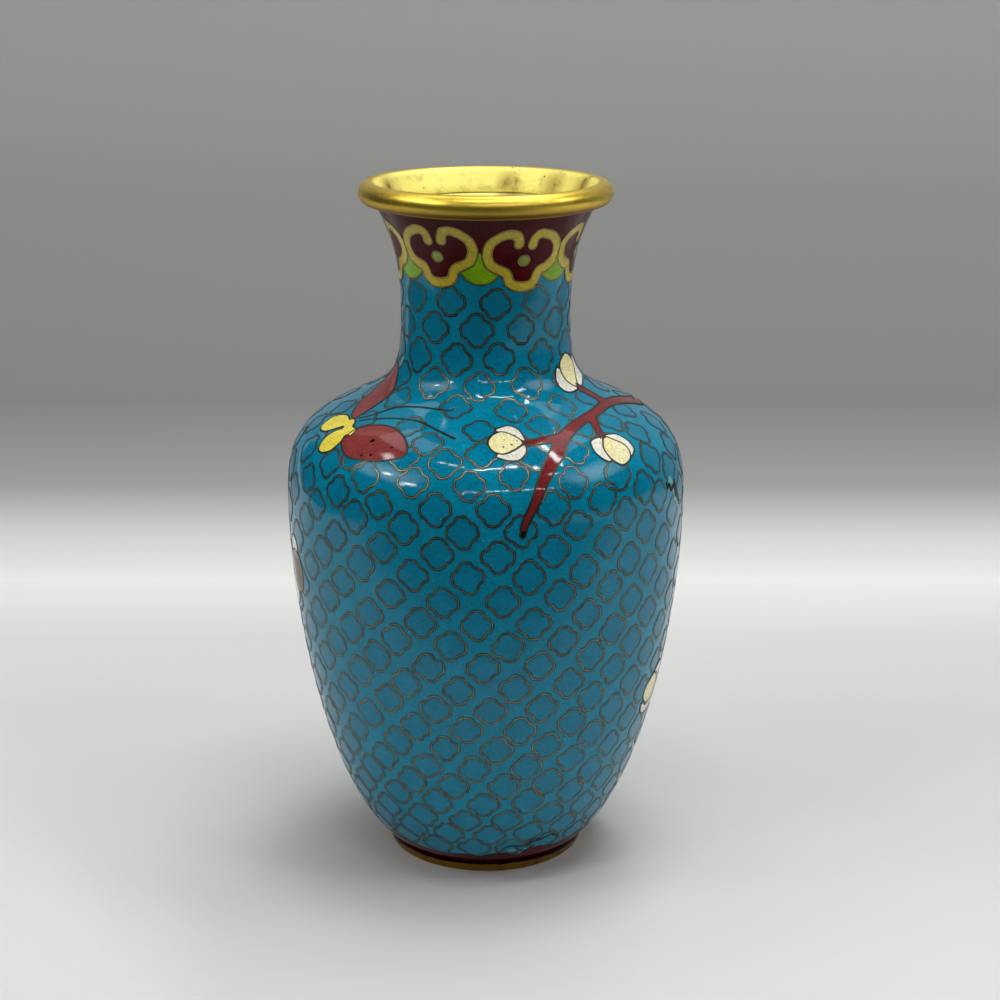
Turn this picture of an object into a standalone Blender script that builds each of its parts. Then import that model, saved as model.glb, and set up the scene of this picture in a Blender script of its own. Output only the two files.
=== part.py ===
"""Miniature cloisonne vase: a spun copper vessel under a coat of glass enamel, with a gilt
ring at the mouth and another at the foot.

Units are metres and +Z is up. The origin is the middle of the circle that the vase stands on.
The vase is turned, so every piece is a profile in the XZ plane, swept round Z.
"""
import math

import bmesh
import bpy
from mathutils import Vector

# Driving dimensions of the outside
HEIGHT = 0.100               # foot to the top of the mouth rim
FOOT_RADIUS = 0.0144         # foot ring, where it stands
FOOT_RING_SHOWS = 0.0016     # height of the foot ring that the enamel leaves bare
FOOT_JOIN_RADIUS = 0.0149    # outline where the enamel meets the foot ring
BELLY_RADIUS = 0.0290        # widest place of the body
BELLY_HEIGHT = 0.0538
SHOULDER_RADIUS = 0.0198     # where the shoulder turns from round to hollow
SHOULDER_HEIGHT = 0.0687
NECK_RADIUS = 0.0122         # narrowest place of the neck
NECK_HEIGHT = 0.0819
MOUTH_RADIUS = 0.0156        # outline where the enamel meets the mouth rim
RIM_RADIUS = 0.0165          # centre line of the mouth rim's round bead
RIM_BEAD_RADIUS = 0.0016

# How the outline leaves those places
FOOT_SLOPE = math.radians(48.6)      # from the vertical, going up from the foot
SHOULDER_SLOPE = math.radians(22.9)  # from the horizontal, going up over the shoulder
MOUTH_SLOPE = math.radians(29.9)     # from the vertical, going up to the mouth
FOOT_SWING = 0.0131
BELLY_SWING_DOWN = 0.0148
BELLY_SWING_UP = 0.0066
SHOULDER_SWING_OUT = 0.0098
SHOULDER_SWING_IN = 0.0077
NECK_SWING_DOWN = 0.0083
NECK_SWING_UP = 0.0066
MOUTH_SWING = 0.0046

# Thicknesses and fits
ENAMEL_THICKNESS = 0.0007
COPPER_WALL = 0.0007
FLOOR_THICKNESS = 0.0008
BASE_ENAMEL_THICKNESS = 0.0007
FOOT_RING_HEIGHT = 0.0030
FOOT_RING_TREAD = 0.0017     # width of the ring at the bottom
FOOT_RING_ROUNDING = 0.00025
JOINT_GAP = 0.0003           # between two pieces that touch

# Fineness of the turned surfaces
TURN_STEPS = 40
LOWER_BODY_STEPS = 8
UPPER_BODY_STEPS = 6
SHOULDER_STEPS = 5
NECK_STEPS = 4
BEAD_STEPS = 9
LIP_STEPS = 4
ROUNDING_STEPS = 3
SHARP_ANGLE = math.radians(40)
MERGE_DISTANCE = 0.00001

# Colour, roughness and metallic value of each finish
ENAMEL = ((0.005, 0.190, 0.280, 1.0), 0.12, 0.0)
COUNTER_ENAMEL = ((0.006, 0.170, 0.250, 1.0), 0.20, 0.0)
GILT_INSIDE = ((0.500, 0.320, 0.080, 1.0), 0.35, 1.0)
GILT_RIM = ((0.620, 0.380, 0.090, 1.0), 0.25, 1.0)
GILT_FOOT = ((0.400, 0.230, 0.060, 1.0), 0.35, 1.0)


def clear_scene():
    """Empty the scene that Blender starts with."""
    for thing in list(bpy.data.objects):
        bpy.data.objects.remove(thing, do_unlink=True)


def material(name, finish):
    """One Principled material with the piece's plain colour."""
    colour, roughness, metallic = finish
    made = bpy.data.materials.new(name)
    made.use_nodes = True
    shader = made.node_tree.nodes["Principled BSDF"]
    shader.inputs["Base Color"].default_value = colour
    shader.inputs["Roughness"].default_value = roughness
    shader.inputs["Metallic"].default_value = metallic
    made.diffuse_color = colour
    return made


def bezier(start, start_handle, end_handle, end, steps):
    """Points and directions along one cubic stretch, its two ends included."""
    places = []
    for step in range(steps + 1):
        t = step / steps
        u = 1.0 - t
        point = (u ** 3 * start + 3 * u * u * t * start_handle
                 + 3 * u * t * t * end_handle + t ** 3 * end)
        along = (u * u * (start_handle - start) + 2 * u * t * (end_handle - start_handle)
                 + t * t * (end - end_handle))
        places.append((point, along.normalized()))
    return places


def rim_underside():
    """Height of the flat underside of the mouth rim, which the body's top edge meets."""
    return HEIGHT - 2 * RIM_BEAD_RADIUS


def outline():
    """The vase's outer line from the foot ring up to the mouth rim.

    Each entry is a point (radius, height) and the direction of the line there, so that the
    inner faces of the coat and of the copper can be set off square to it.
    """
    foot = Vector((FOOT_JOIN_RADIUS, FOOT_RING_SHOWS + JOINT_GAP))
    belly = Vector((BELLY_RADIUS, BELLY_HEIGHT))
    shoulder = Vector((SHOULDER_RADIUS, SHOULDER_HEIGHT))
    neck = Vector((NECK_RADIUS, NECK_HEIGHT))
    mouth = Vector((MOUTH_RADIUS, rim_underside() - JOINT_GAP))
    upward = Vector((0.0, 1.0))
    off_foot = Vector((math.sin(FOOT_SLOPE), math.cos(FOOT_SLOPE)))
    over_shoulder = Vector((-math.cos(SHOULDER_SLOPE), math.sin(SHOULDER_SLOPE)))
    to_mouth = Vector((math.sin(MOUTH_SLOPE), math.cos(MOUTH_SLOPE)))
    stretches = [
        bezier(foot, foot + FOOT_SWING * off_foot,
               belly - BELLY_SWING_DOWN * upward, belly, LOWER_BODY_STEPS),
        bezier(belly, belly + BELLY_SWING_UP * upward,
               shoulder - SHOULDER_SWING_OUT * over_shoulder, shoulder, UPPER_BODY_STEPS),
        bezier(shoulder, shoulder + SHOULDER_SWING_IN * over_shoulder,
               neck - NECK_SWING_DOWN * upward, neck, SHOULDER_STEPS),
        bezier(neck, neck + NECK_SWING_UP * upward,
               mouth - MOUTH_SWING * to_mouth, mouth, NECK_STEPS),
    ]
    line = list(stretches[0])
    for stretch in stretches[1:]:
        line.extend(stretch[1:])
    return line


def inset(line, depth):
    """The line set in by depth, square to itself."""
    return [point + depth * Vector((-along.y, along.x)) for point, along in line]


def radius_at(points, height):
    """Radius where a rising run of points passes a height."""
    for low, high in zip(points, points[1:]):
        if low.y <= height <= high.y:
            share = (height - low.y) / (high.y - low.y)
            return low.x + share * (high.x - low.x)
    return points[0].x if height < points[0].y else points[-1].x


def trimmed(points, bottom, top):
    """The run of points between two heights, cut square at both."""
    margin = MERGE_DISTANCE
    inside = [point for point in points if bottom + margin < point.y < top - margin]
    low_end = Vector((radius_at(points, bottom), bottom))
    high_end = Vector((radius_at(points, top), top))
    return [low_end] + inside + [high_end]


def turned(name, profile, closed_ring, finish, collection):
    """A solid of revolution from a profile that runs down its outer side.

    profile is a list of (radius, height). A closed ring joins its last point to its first;
    otherwise the profile starts and ends on the axis.
    """
    mesh = bpy.data.meshes.new(name)
    shape = bmesh.new()
    verts = [shape.verts.new((point[0], 0.0, point[1])) for point in profile]
    for first, second in zip(verts, verts[1:]):
        shape.edges.new((first, second))
    if closed_ring:
        shape.edges.new((verts[-1], verts[0]))
    shape.to_mesh(mesh)
    shape.free()
    mesh.materials.append(finish)
    piece = bpy.data.objects.new(name, mesh)
    collection.objects.link(piece)
    screw = piece.modifiers.new("Turn", "SCREW")
    screw.axis = "Z"
    screw.angle = math.tau
    screw.steps = TURN_STEPS
    screw.render_steps = TURN_STEPS
    screw.use_merge_vertices = True
    screw.merge_threshold = MERGE_DISTANCE
    shade_round(piece)
    return piece


def shade_round(piece):
    """Turn the profile into its mesh and shade it smooth, with its real edges sharp."""
    graph = bpy.context.evaluated_depsgraph_get()
    mesh = bpy.data.meshes.new_from_object(piece.evaluated_get(graph))
    mesh.shade_smooth()
    mesh.set_sharp_from_angle(angle=SHARP_ANGLE)
    piece.modifiers.clear()
    piece.data = mesh


def arc(centre, radius, start, end, steps):
    """Points on an arc from angle start to angle end, both included."""
    points = []
    for step in range(steps + 1):
        angle = start + (end - start) * step / steps
        points.append(centre + radius * Vector((math.cos(angle), math.sin(angle))))
    return points


def floor_underside():
    """Height of the copper floor's underside, which stands on the foot ring."""
    return FOOT_RING_HEIGHT + JOINT_GAP


def coat_inner_points():
    """Inner face of the enamel coat, from its foot edge to its mouth edge."""
    return trimmed(inset(outline(), ENAMEL_THICKNESS),
                   FOOT_RING_SHOWS + JOINT_GAP, rim_underside() - JOINT_GAP)


def copper_outer_points():
    """Outer face of the copper, a joint gap inside the coat."""
    return trimmed(inset(outline(), ENAMEL_THICKNESS + JOINT_GAP),
                   floor_underside(), rim_underside() - JOINT_GAP)


def copper_inner_points():
    """Inner face of the copper wall, from the floor to the mouth."""
    depth = ENAMEL_THICKNESS + JOINT_GAP + COPPER_WALL
    return trimmed(inset(outline(), depth),
                   floor_underside() + FLOOR_THICKNESS, rim_underside() - JOINT_GAP)


def foot_ring_inner_radius():
    """Radius of the hollow under the vase."""
    return FOOT_RADIUS - FOOT_RING_TREAD


def build_copper_body(collection):
    """The spun vessel: open at the mouth, with a flat floor."""
    outer = copper_outer_points()
    inner = copper_inner_points()
    profile = list(reversed(outer))
    profile.append(Vector((0.0, floor_underside())))
    profile = [Vector((0.0, floor_underside() + FLOOR_THICKNESS))] + inner + profile
    finish = material("gilt copper inside", GILT_INSIDE)
    return turned("copper_body", profile, False, finish, collection)


def build_enamel_coat(collection):
    """The glass coat over the outside of the vessel."""
    outer = [point for point, along in outline()]
    profile = list(reversed(outer)) + coat_inner_points()
    finish = material("turquoise enamel", ENAMEL)
    return turned("enamel_coat", profile, True, finish, collection)


def build_base_enamel(collection):
    """The counter-enamel on the underside, inside the foot ring."""
    radius = foot_ring_inner_radius() - JOINT_GAP
    top = floor_underside() - JOINT_GAP
    bottom = top - BASE_ENAMEL_THICKNESS
    profile = [(0.0, top), (radius, top), (radius, bottom), (0.0, bottom)]
    finish = material("turquoise counter-enamel", COUNTER_ENAMEL)
    return turned("base_enamel", profile, False, finish, collection)


def build_mouth_rim(collection):
    """The round bead soldered on the mouth, with a lip that runs in to the copper wall."""
    centre = Vector((RIM_RADIUS, HEIGHT - RIM_BEAD_RADIUS))
    bottom = rim_underside()
    lip_radius = copper_inner_points()[-1].x
    lip = Vector((lip_radius, bottom))
    crest = centre + Vector((0.0, RIM_BEAD_RADIUS))
    bead = arc(centre, RIM_BEAD_RADIUS, math.pi / 2, -math.pi / 2, BEAD_STEPS)
    to_mouth = Vector((math.sin(MOUTH_SLOPE), math.cos(MOUTH_SLOPE)))
    inward = Vector((-1.0, 0.0))
    into_mouth = bezier(lip, lip + RIM_BEAD_RADIUS * to_mouth,
                        crest + RIM_BEAD_RADIUS * inward, crest, LIP_STEPS)
    profile = bead + [point for point, along in into_mouth[:-1]]
    finish = material("gilt mouth rim", GILT_RIM)
    return turned("mouth_rim", profile, True, finish, collection)


def build_foot_ring(collection):
    """The gilt ring that the vase stands on, with a tongue inside the foot of the coat."""
    inner = foot_ring_inner_radius()
    tongue = coat_inner_points()[0].x - JOINT_GAP
    rounding = FOOT_RING_ROUNDING
    outer_corner = Vector((FOOT_RADIUS - rounding, rounding))
    inner_corner = Vector((inner + rounding, rounding))
    profile = [(tongue, FOOT_RING_HEIGHT), (tongue, FOOT_RING_SHOWS)]
    profile.append((FOOT_JOIN_RADIUS, FOOT_RING_SHOWS))
    profile += arc(outer_corner, rounding, 0.0, -math.pi / 2, ROUNDING_STEPS)
    profile += arc(inner_corner, rounding, -math.pi / 2, -math.pi, ROUNDING_STEPS)
    profile.append((inner, FOOT_RING_HEIGHT))
    finish = material("gilt foot ring", GILT_FOOT)
    return turned("foot_ring", profile, True, finish, collection)


def main():
    """Build the five pieces of the vase."""
    clear_scene()
    vase = bpy.data.collections.new("cloisonne_vase")
    bpy.context.scene.collection.children.link(vase)
    build_copper_body(vase)
    build_enamel_coat(vase)
    build_base_enamel(vase)
    build_mouth_rim(vase)
    build_foot_ring(vase)


main()
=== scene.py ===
"""Looks of a miniature cloisonne vase: turquoise enamel with wire cells, a red collar of ruyi heads,
a butterfly and a blossoming branch, between a gilt mouth ring and a gilt foot ring."""
import logging
import math
import random
from dataclasses import dataclass
from enum import Enum

import bmesh
import bpy
import numpy as np
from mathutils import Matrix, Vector
from mathutils.geometry import delaunay_2d_cdt


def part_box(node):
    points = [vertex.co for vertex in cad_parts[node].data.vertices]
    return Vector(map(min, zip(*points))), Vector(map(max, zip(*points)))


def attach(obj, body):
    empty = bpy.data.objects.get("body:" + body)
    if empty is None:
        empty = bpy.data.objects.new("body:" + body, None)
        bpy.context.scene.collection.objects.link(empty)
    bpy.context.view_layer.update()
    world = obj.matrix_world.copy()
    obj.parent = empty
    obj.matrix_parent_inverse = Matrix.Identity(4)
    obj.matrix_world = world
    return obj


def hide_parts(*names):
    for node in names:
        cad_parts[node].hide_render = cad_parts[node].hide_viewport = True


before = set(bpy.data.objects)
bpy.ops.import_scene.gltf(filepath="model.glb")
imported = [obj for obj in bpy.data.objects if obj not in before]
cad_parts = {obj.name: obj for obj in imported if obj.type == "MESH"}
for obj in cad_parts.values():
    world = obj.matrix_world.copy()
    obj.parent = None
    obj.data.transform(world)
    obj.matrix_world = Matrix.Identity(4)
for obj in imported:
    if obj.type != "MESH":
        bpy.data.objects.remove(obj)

LOG = logging.getLogger("vase")
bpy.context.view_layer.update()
MM = 0.001
BODY = "root"
ROUND_SEGMENTS = 224
SHARP_EDGE = math.radians(42)
MERGED = 0.002 * MM

Point = tuple[float, float]
Socket = bpy.types.NodeSocket
Node = bpy.types.Node


def linear(hex_colour: str) -> tuple[float, float, float, float]:
    """Turns an sRGB hex colour into the linear values that the shaders take.

    Args:
        hex_colour: Six hex digits after a number sign.

    Returns:
        Red, green, blue and alpha in linear light.
    """
    shares = [int(hex_colour[k:k + 2], 16) / 255 for k in (1, 3, 5)]
    light = [c / 12.92 if c <= 0.04045 else ((c + 0.055) / 1.055) ** 2.4 for c in shares]
    return (*light, 1.0)


def output(value: Socket | Node) -> Socket:
    """Returns a node's first output, or the output itself."""
    return value.outputs[0] if isinstance(value, Node) else value


def add_node(tree: bpy.types.NodeTree, kind: str, inputs: dict | None = None, **settings) -> Node:
    """Adds one node to a tree with its settings, values and links.

    Args:
        tree: The shader or geometry tree.
        kind: The node's type.
        inputs: By name or number, a plain value, an output, or a node whose first output is meant.
        **settings: The node's own properties.

    Returns:
        The new node.
    """
    made = tree.nodes.new(kind)
    for name, value in settings.items():
        setattr(made, name, value)
    for key, value in (inputs or {}).items():
        if isinstance(value, (Socket, Node)):
            tree.links.new(output(value), made.inputs[key])
        else:
            made.inputs[key].default_value = value
    return made


@dataclass(frozen=True)
class Outline:
    """Outer line of the enamel, from the foot ring up to the mouth ring, as four Bezier stretches."""

    belly_radius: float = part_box("enamel_coat")[1].x
    top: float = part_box("enamel_coat")[1].z
    bottom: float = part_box("enamel_coat")[0].z
    foot_radius: float = 14.9 * MM
    belly_height: float = 53.8 * MM
    shoulder_radius: float = 19.8 * MM
    shoulder_height: float = 68.7 * MM
    neck_radius: float = 12.2 * MM
    neck_height: float = 81.9 * MM
    mouth_radius: float = 15.6 * MM
    foot_slope: float = math.radians(48.6)
    shoulder_slope: float = math.radians(22.9)
    mouth_slope: float = math.radians(29.9)
    foot_swing: float = 13.1 * MM
    belly_swing_down: float = 14.8 * MM
    belly_swing_up: float = 6.6 * MM
    shoulder_swing_out: float = 9.8 * MM
    shoulder_swing_in: float = 7.7 * MM
    neck_swing_down: float = 8.3 * MM
    neck_swing_up: float = 6.6 * MM
    mouth_swing: float = 4.6 * MM
    steps: int = 48

    def line(self) -> np.ndarray:
        """Works out the outline's points.

        Returns:
            Radius and height of each, from the foot up.
        """
        foot = np.array([self.foot_radius, self.bottom])
        belly = np.array([self.belly_radius, self.belly_height])
        shoulder = np.array([self.shoulder_radius, self.shoulder_height])
        neck = np.array([self.neck_radius, self.neck_height])
        mouth = np.array([self.mouth_radius, self.top])
        upward = np.array([0.0, 1.0])
        off_foot = np.array([math.sin(self.foot_slope), math.cos(self.foot_slope)])
        inward = np.array([-math.cos(self.shoulder_slope), math.sin(self.shoulder_slope)])
        to_mouth = np.array([math.sin(self.mouth_slope), math.cos(self.mouth_slope)])
        stretches = (
            (foot, foot + self.foot_swing * off_foot, belly - self.belly_swing_down * upward, belly),
            (belly, belly + self.belly_swing_up * upward,
             shoulder - self.shoulder_swing_out * inward, shoulder),
            (shoulder, shoulder + self.shoulder_swing_in * inward,
             neck - self.neck_swing_down * upward, neck),
            (neck, neck + self.neck_swing_up * upward, mouth - self.mouth_swing * to_mouth, mouth),
        )
        share = np.linspace(0, 1, self.steps)[:, None]
        lines = [(1 - share) ** 3 * a + 3 * (1 - share) ** 2 * share * b
                 + 3 * (1 - share) * share ** 2 * c + share ** 3 * d for a, b, c, d in stretches]
        return np.concatenate([lines[0]] + [line[1:] for line in lines[1:]])


class VaseSurface:
    """The turned surface, addressed by angle round the vase and by arc, the way up along the outline."""

    def __init__(self, outline: Outline) -> None:
        """Samples the outline.

        Args:
            outline: The enamel's outer line.
        """
        self.line = outline.line()
        steps = np.hypot(*np.diff(self.line, axis=0).T)
        self.arc = np.concatenate([[0.0], np.cumsum(steps)])
        self.length = float(self.arc[-1])
        slopes = np.gradient(self.line, self.arc, axis=0)
        self.normal = np.stack([slopes[:, 1], -slopes[:, 0]], 1)
        self.normal /= np.linalg.norm(self.normal, axis=1)[:, None]

    def radius(self, arc: float) -> float:
        """Returns the radius at an arc."""
        return float(np.interp(arc, self.arc, self.line[:, 0]))

    def section(self, arc: float, lift: float = 0.0) -> Point:
        """Finds a point of the section.

        Args:
            arc: Way up the outline.
            lift: Height over the surface.

        Returns:
            Radius and height.
        """
        r, z = (float(np.interp(arc, self.arc, self.line[:, k])) for k in (0, 1))
        nr, nz = (float(np.interp(arc, self.arc, self.normal[:, k])) for k in (0, 1))
        return r + lift * nr, z + lift * nz

    def sections(self, low: float, high: float, lift: float, step: float) -> list[Point]:
        """Returns points of the outline between two arcs, lifted off it, from low to high."""
        count = max(2, round(abs(high - low) / step) + 1)
        return [self.section(arc, lift) for arc in np.linspace(low, high, count)]

    def guide(self) -> bpy.types.Object:
        """Makes the curve that the Geometry Nodes trees sample.

        Returns:
            The outline as an object.
        """
        curve = bpy.data.curves.new("outline_guide", "CURVE")
        curve.dimensions = "3D"
        spline = curve.splines.new("POLY")
        spline.points.add(len(self.line) - 1)
        for point, (r, z) in zip(spline.points, self.line):
            point.co = (r, 0.0, z, 1.0)
        made = bpy.data.objects.new("outline_guide", curve)
        bpy.context.scene.collection.objects.link(made)
        return made


class MaterialTree:
    """A material's tree, with the one glossy shader that a finish sets."""

    def __init__(self, name: str) -> None:
        """Starts the material.

        Args:
            name: Name of the real material.
        """
        self.made = bpy.data.materials.new(name)
        self.made.use_nodes = True
        self.tree = self.made.node_tree
        self.shader = self.tree.nodes["Principled BSDF"].inputs
        self.at = self.add("ShaderNodeTexCoord").outputs["Object"]

    def add(self, kind: str, inputs: dict | None = None, **settings) -> Node:
        """Adds a node to this tree; see add_node."""
        return add_node(self.tree, kind, inputs, **settings)

    def drive(self, label: str, value: Socket | Node) -> None:
        """Links an output to an input of the shader."""
        self.tree.links.new(output(value), self.shader[label])

    def dots(self, spacing: float, edge: Point, strength: float, share: float, draw: int = 0) -> Node:
        """Adds a pattern of scattered dots.

        Args:
            spacing: Distance between the places where a dot may lie.
            edge: Where a dot starts to fade and where it ends, as shares of the spacing.
            strength: The pattern's value in a dot.
            share: How many of the places have a dot.
            draw: Which of a place's random numbers chooses.

        Returns:
            The pattern, which is 0 between the dots.
        """
        places = self.add("ShaderNodeTexVoronoi", {"Vector": self.at, "Scale": 1 / spacing}).outputs
        dot = self.add("ShaderNodeMapRange", {0: places["Distance"], 1: edge[0], 2: edge[1], 3: strength,
                                              4: 0.0})
        drawn = self.add("ShaderNodeSeparateColor", {0: places["Color"]}).outputs[draw]
        chosen = self.add("ShaderNodeMath", {0: drawn, 1: 1.0 - share}, operation="GREATER_THAN")
        return self.add("ShaderNodeMath", {0: dot, 1: chosen}, operation="MULTIPLY")


class GeometryTree:
    """A Geometry Nodes tree with named inputs, which turns a source mesh into a plain piece."""

    SOCKETS = {float: "NodeSocketFloat", int: "NodeSocketInt",
               bpy.types.Object: "NodeSocketObject", bpy.types.Material: "NodeSocketMaterial"}

    def __init__(self, name: str, values: dict) -> None:
        """Starts the tree.

        Args:
            name: Name of the tree.
            values: Value of each named input; its type settles the socket's kind.
        """
        self.tree = bpy.data.node_groups.new(name, "GeometryNodeTree")
        self.values = values
        face = self.tree.interface
        face.new_socket("Geometry", in_out="INPUT", socket_type="NodeSocketGeometry")
        face.new_socket("Geometry", in_out="OUTPUT", socket_type="NodeSocketGeometry")
        for label, value in values.items():
            face.new_socket(label, in_out="INPUT", socket_type=self.SOCKETS[type(value)])
        self.start = self.tree.nodes.new("NodeGroupInput").outputs

    def add(self, kind: str, inputs: dict | None = None, **settings) -> Node:
        """Adds a node to this tree; see add_node."""
        return add_node(self.tree, kind, inputs, **settings)

    def end(self, geometry: Socket | Node) -> None:
        """Ends the tree with real geometry and its material.

        Args:
            geometry: The output that holds the finished geometry.
        """
        real = self.add("GeometryNodeRealizeInstances", {0: geometry})
        dressed = self.add("GeometryNodeSetMaterial",
                           {"Geometry": real, "Material": self.start["Material"]})
        self.add("NodeGroupOutput", {0: dressed})

    def make(self, source: bpy.types.Object, name: str) -> bpy.types.Object:
        """Runs the tree on a source object and keeps the result as a plain mesh.

        Args:
            source: The object that the tree starts from, which is removed.
            name: Name of the new piece.

        Returns:
            The new piece, at the origin.
        """
        modifier = source.modifiers.new(name, "NODES")
        modifier.node_group = self.tree
        for item in self.tree.interface.items_tree:
            if item.in_out == "INPUT" and item.name in self.values:
                modifier[item.identifier] = self.values[item.name]
        bpy.context.view_layer.update()
        seen = bpy.context.evaluated_depsgraph_get()
        mesh = bpy.data.meshes.new_from_object(source.evaluated_get(seen), depsgraph=seen)
        bpy.data.objects.remove(source)
        return plain_piece(mesh, name)


def plain_piece(mesh: bpy.types.Mesh, name: str) -> bpy.types.Object:
    """Links a mesh as a piece at the origin, with its faces out and its real edges sharp.

    Args:
        mesh: The closed mesh.
        name: Name of the piece.

    Returns:
        The new object.
    """
    tidy = bmesh.new()
    tidy.from_mesh(mesh)
    bmesh.ops.recalc_face_normals(tidy, faces=tidy.faces)
    tidy.to_mesh(mesh)
    tidy.free()
    mesh.name = name
    mesh.shade_smooth()
    mesh.set_sharp_from_angle(angle=SHARP_EDGE)
    made = bpy.data.objects.new(name, mesh)
    bpy.context.scene.collection.objects.link(made)
    return made


def source_mesh(name: str, places: list, edges: list = (), faces: list = (),
                attributes: dict | None = None) -> bpy.types.Object:
    """Makes the mesh that a tree starts from.

    Args:
        name: Name of the object.
        places: Its points.
        edges: Its loose edges.
        faces: Its faces.
        attributes: A list of numbers, one for each point, under each attribute's name.

    Returns:
        The new object.
    """
    mesh = bpy.data.meshes.new(name)
    mesh.from_pydata(places, edges, faces)
    for label, numbers in (attributes or {}).items():
        layer = mesh.attributes.new(label, "FLOAT", "POINT")
        layer.data.foreach_set("value", np.asarray(numbers, np.float32))
    made = bpy.data.objects.new(name, mesh)
    bpy.context.scene.collection.objects.link(made)
    return made


def wrap(tree: GeometryTree, geometry: Socket | Node) -> Socket | Node:
    """Adds the nodes that lay flat work onto the vase.

    Flat work has x to the right, y up and z outwards, from a point given by the attributes angle and arc.

    Args:
        tree: A tree with the inputs Outline and Lift.
        geometry: The flat geometry.

    Returns:
        The geometry on the vase.
    """
    place = tree.add("GeometryNodeInputPosition")
    flat = tree.add("ShaderNodeSeparateXYZ", {0: place}).outputs
    angle, arc = (tree.add("GeometryNodeInputNamedAttribute", {"Name": name}, data_type="FLOAT")
                  for name in ("angle", "arc"))
    height = tree.add("ShaderNodeMath", {0: arc, 1: flat["Y"]}, operation="ADD")
    guide = tree.add("GeometryNodeObjectInfo", {"Object": tree.start["Outline"]}).outputs["Geometry"]
    found = tree.add("GeometryNodeSampleCurve", {"Curves": guide, "Length": height},
                     mode="LENGTH", data_type="FLOAT").outputs
    point = tree.add("ShaderNodeSeparateXYZ", {0: found["Position"]}).outputs
    along = tree.add("ShaderNodeSeparateXYZ", {0: found["Tangent"]}).outputs
    swing = tree.add("ShaderNodeMath", {0: flat["X"], 1: point["X"]}, operation="DIVIDE")
    turn = tree.add("ShaderNodeMath", {0: angle, 1: swing}, operation="ADD")
    lift = tree.add("ShaderNodeMath", {0: flat["Z"], 1: tree.start["Lift"]}, operation="ADD")
    radius = tree.add("ShaderNodeMath", {0: lift, 1: along["Z"], 2: point["X"]}, operation="MULTIPLY_ADD")
    down = tree.add("ShaderNodeMath", {0: lift, 1: along["X"]}, operation="MULTIPLY")
    level = tree.add("ShaderNodeMath", {0: point["Z"], 1: down}, operation="SUBTRACT")
    sine = tree.add("ShaderNodeMath", {0: turn}, operation="SINE")
    cosine = tree.add("ShaderNodeMath", {0: turn}, operation="COSINE")
    x = tree.add("ShaderNodeMath", {0: radius, 1: sine}, operation="MULTIPLY")
    minus = tree.add("ShaderNodeMath", {0: cosine, 1: -1.0}, operation="MULTIPLY")
    y = tree.add("ShaderNodeMath", {0: radius, 1: minus}, operation="MULTIPLY")
    there = tree.add("ShaderNodeCombineXYZ", {0: x, 1: y, 2: level})
    return tree.add("GeometryNodeSetPosition", {"Geometry": geometry, "Position": there})


def ribbon(tree: GeometryTree, curve: Socket | Node) -> Socket | Node:
    """Adds the nodes that sweep flat wire along flat curves.

    Args:
        tree: A tree with the inputs Wire width and Wire depth.
        curve: The curves, in the plane.

    Returns:
        The flat wire, with the attribute across, from -1 at one edge to 1 at the other.
    """
    level = tree.add("GeometryNodeSetCurveNormal", {0: curve}, mode="Z_UP")
    disc = tree.add("GeometryNodeCurvePrimitiveCircle", {"Resolution": 3, "Radius": 1.0})
    place = tree.add("GeometryNodeInputPosition")
    first = tree.add("ShaderNodeSeparateXYZ", {0: place}).outputs
    side = tree.add("ShaderNodeMath", {0: first["Y"]}, operation="SIGN")
    low = tree.add("ShaderNodeMath", {0: first["X"], 1: 0.9}, operation="GREATER_THAN")
    edge = tree.add("ShaderNodeMath", {0: 1.0, 1: low}, operation="SUBTRACT")
    sign = tree.add("ShaderNodeMath", {0: side, 1: edge}, operation="MULTIPLY")
    half = tree.add("ShaderNodeMath", {0: tree.start["Wire width"], 1: 0.5}, operation="MULTIPLY")
    x = tree.add("ShaderNodeMath", {0: sign, 1: half}, operation="MULTIPLY")
    y = tree.add("ShaderNodeMath", {0: low, 1: tree.start["Wire depth"]}, operation="MULTIPLY")
    corner = tree.add("ShaderNodeCombineXYZ", {0: x, 1: y})
    marked = tree.add("GeometryNodeStoreNamedAttribute", {"Geometry": disc, "Name": "across", "Value": sign},
                      data_type="FLOAT", domain="POINT")
    bar = tree.add("GeometryNodeSetPosition", {"Geometry": marked, "Position": corner})
    return tree.add("GeometryNodeCurveToMesh", {"Curve": level, "Profile Curve": bar, "Fill Caps": True})


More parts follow.
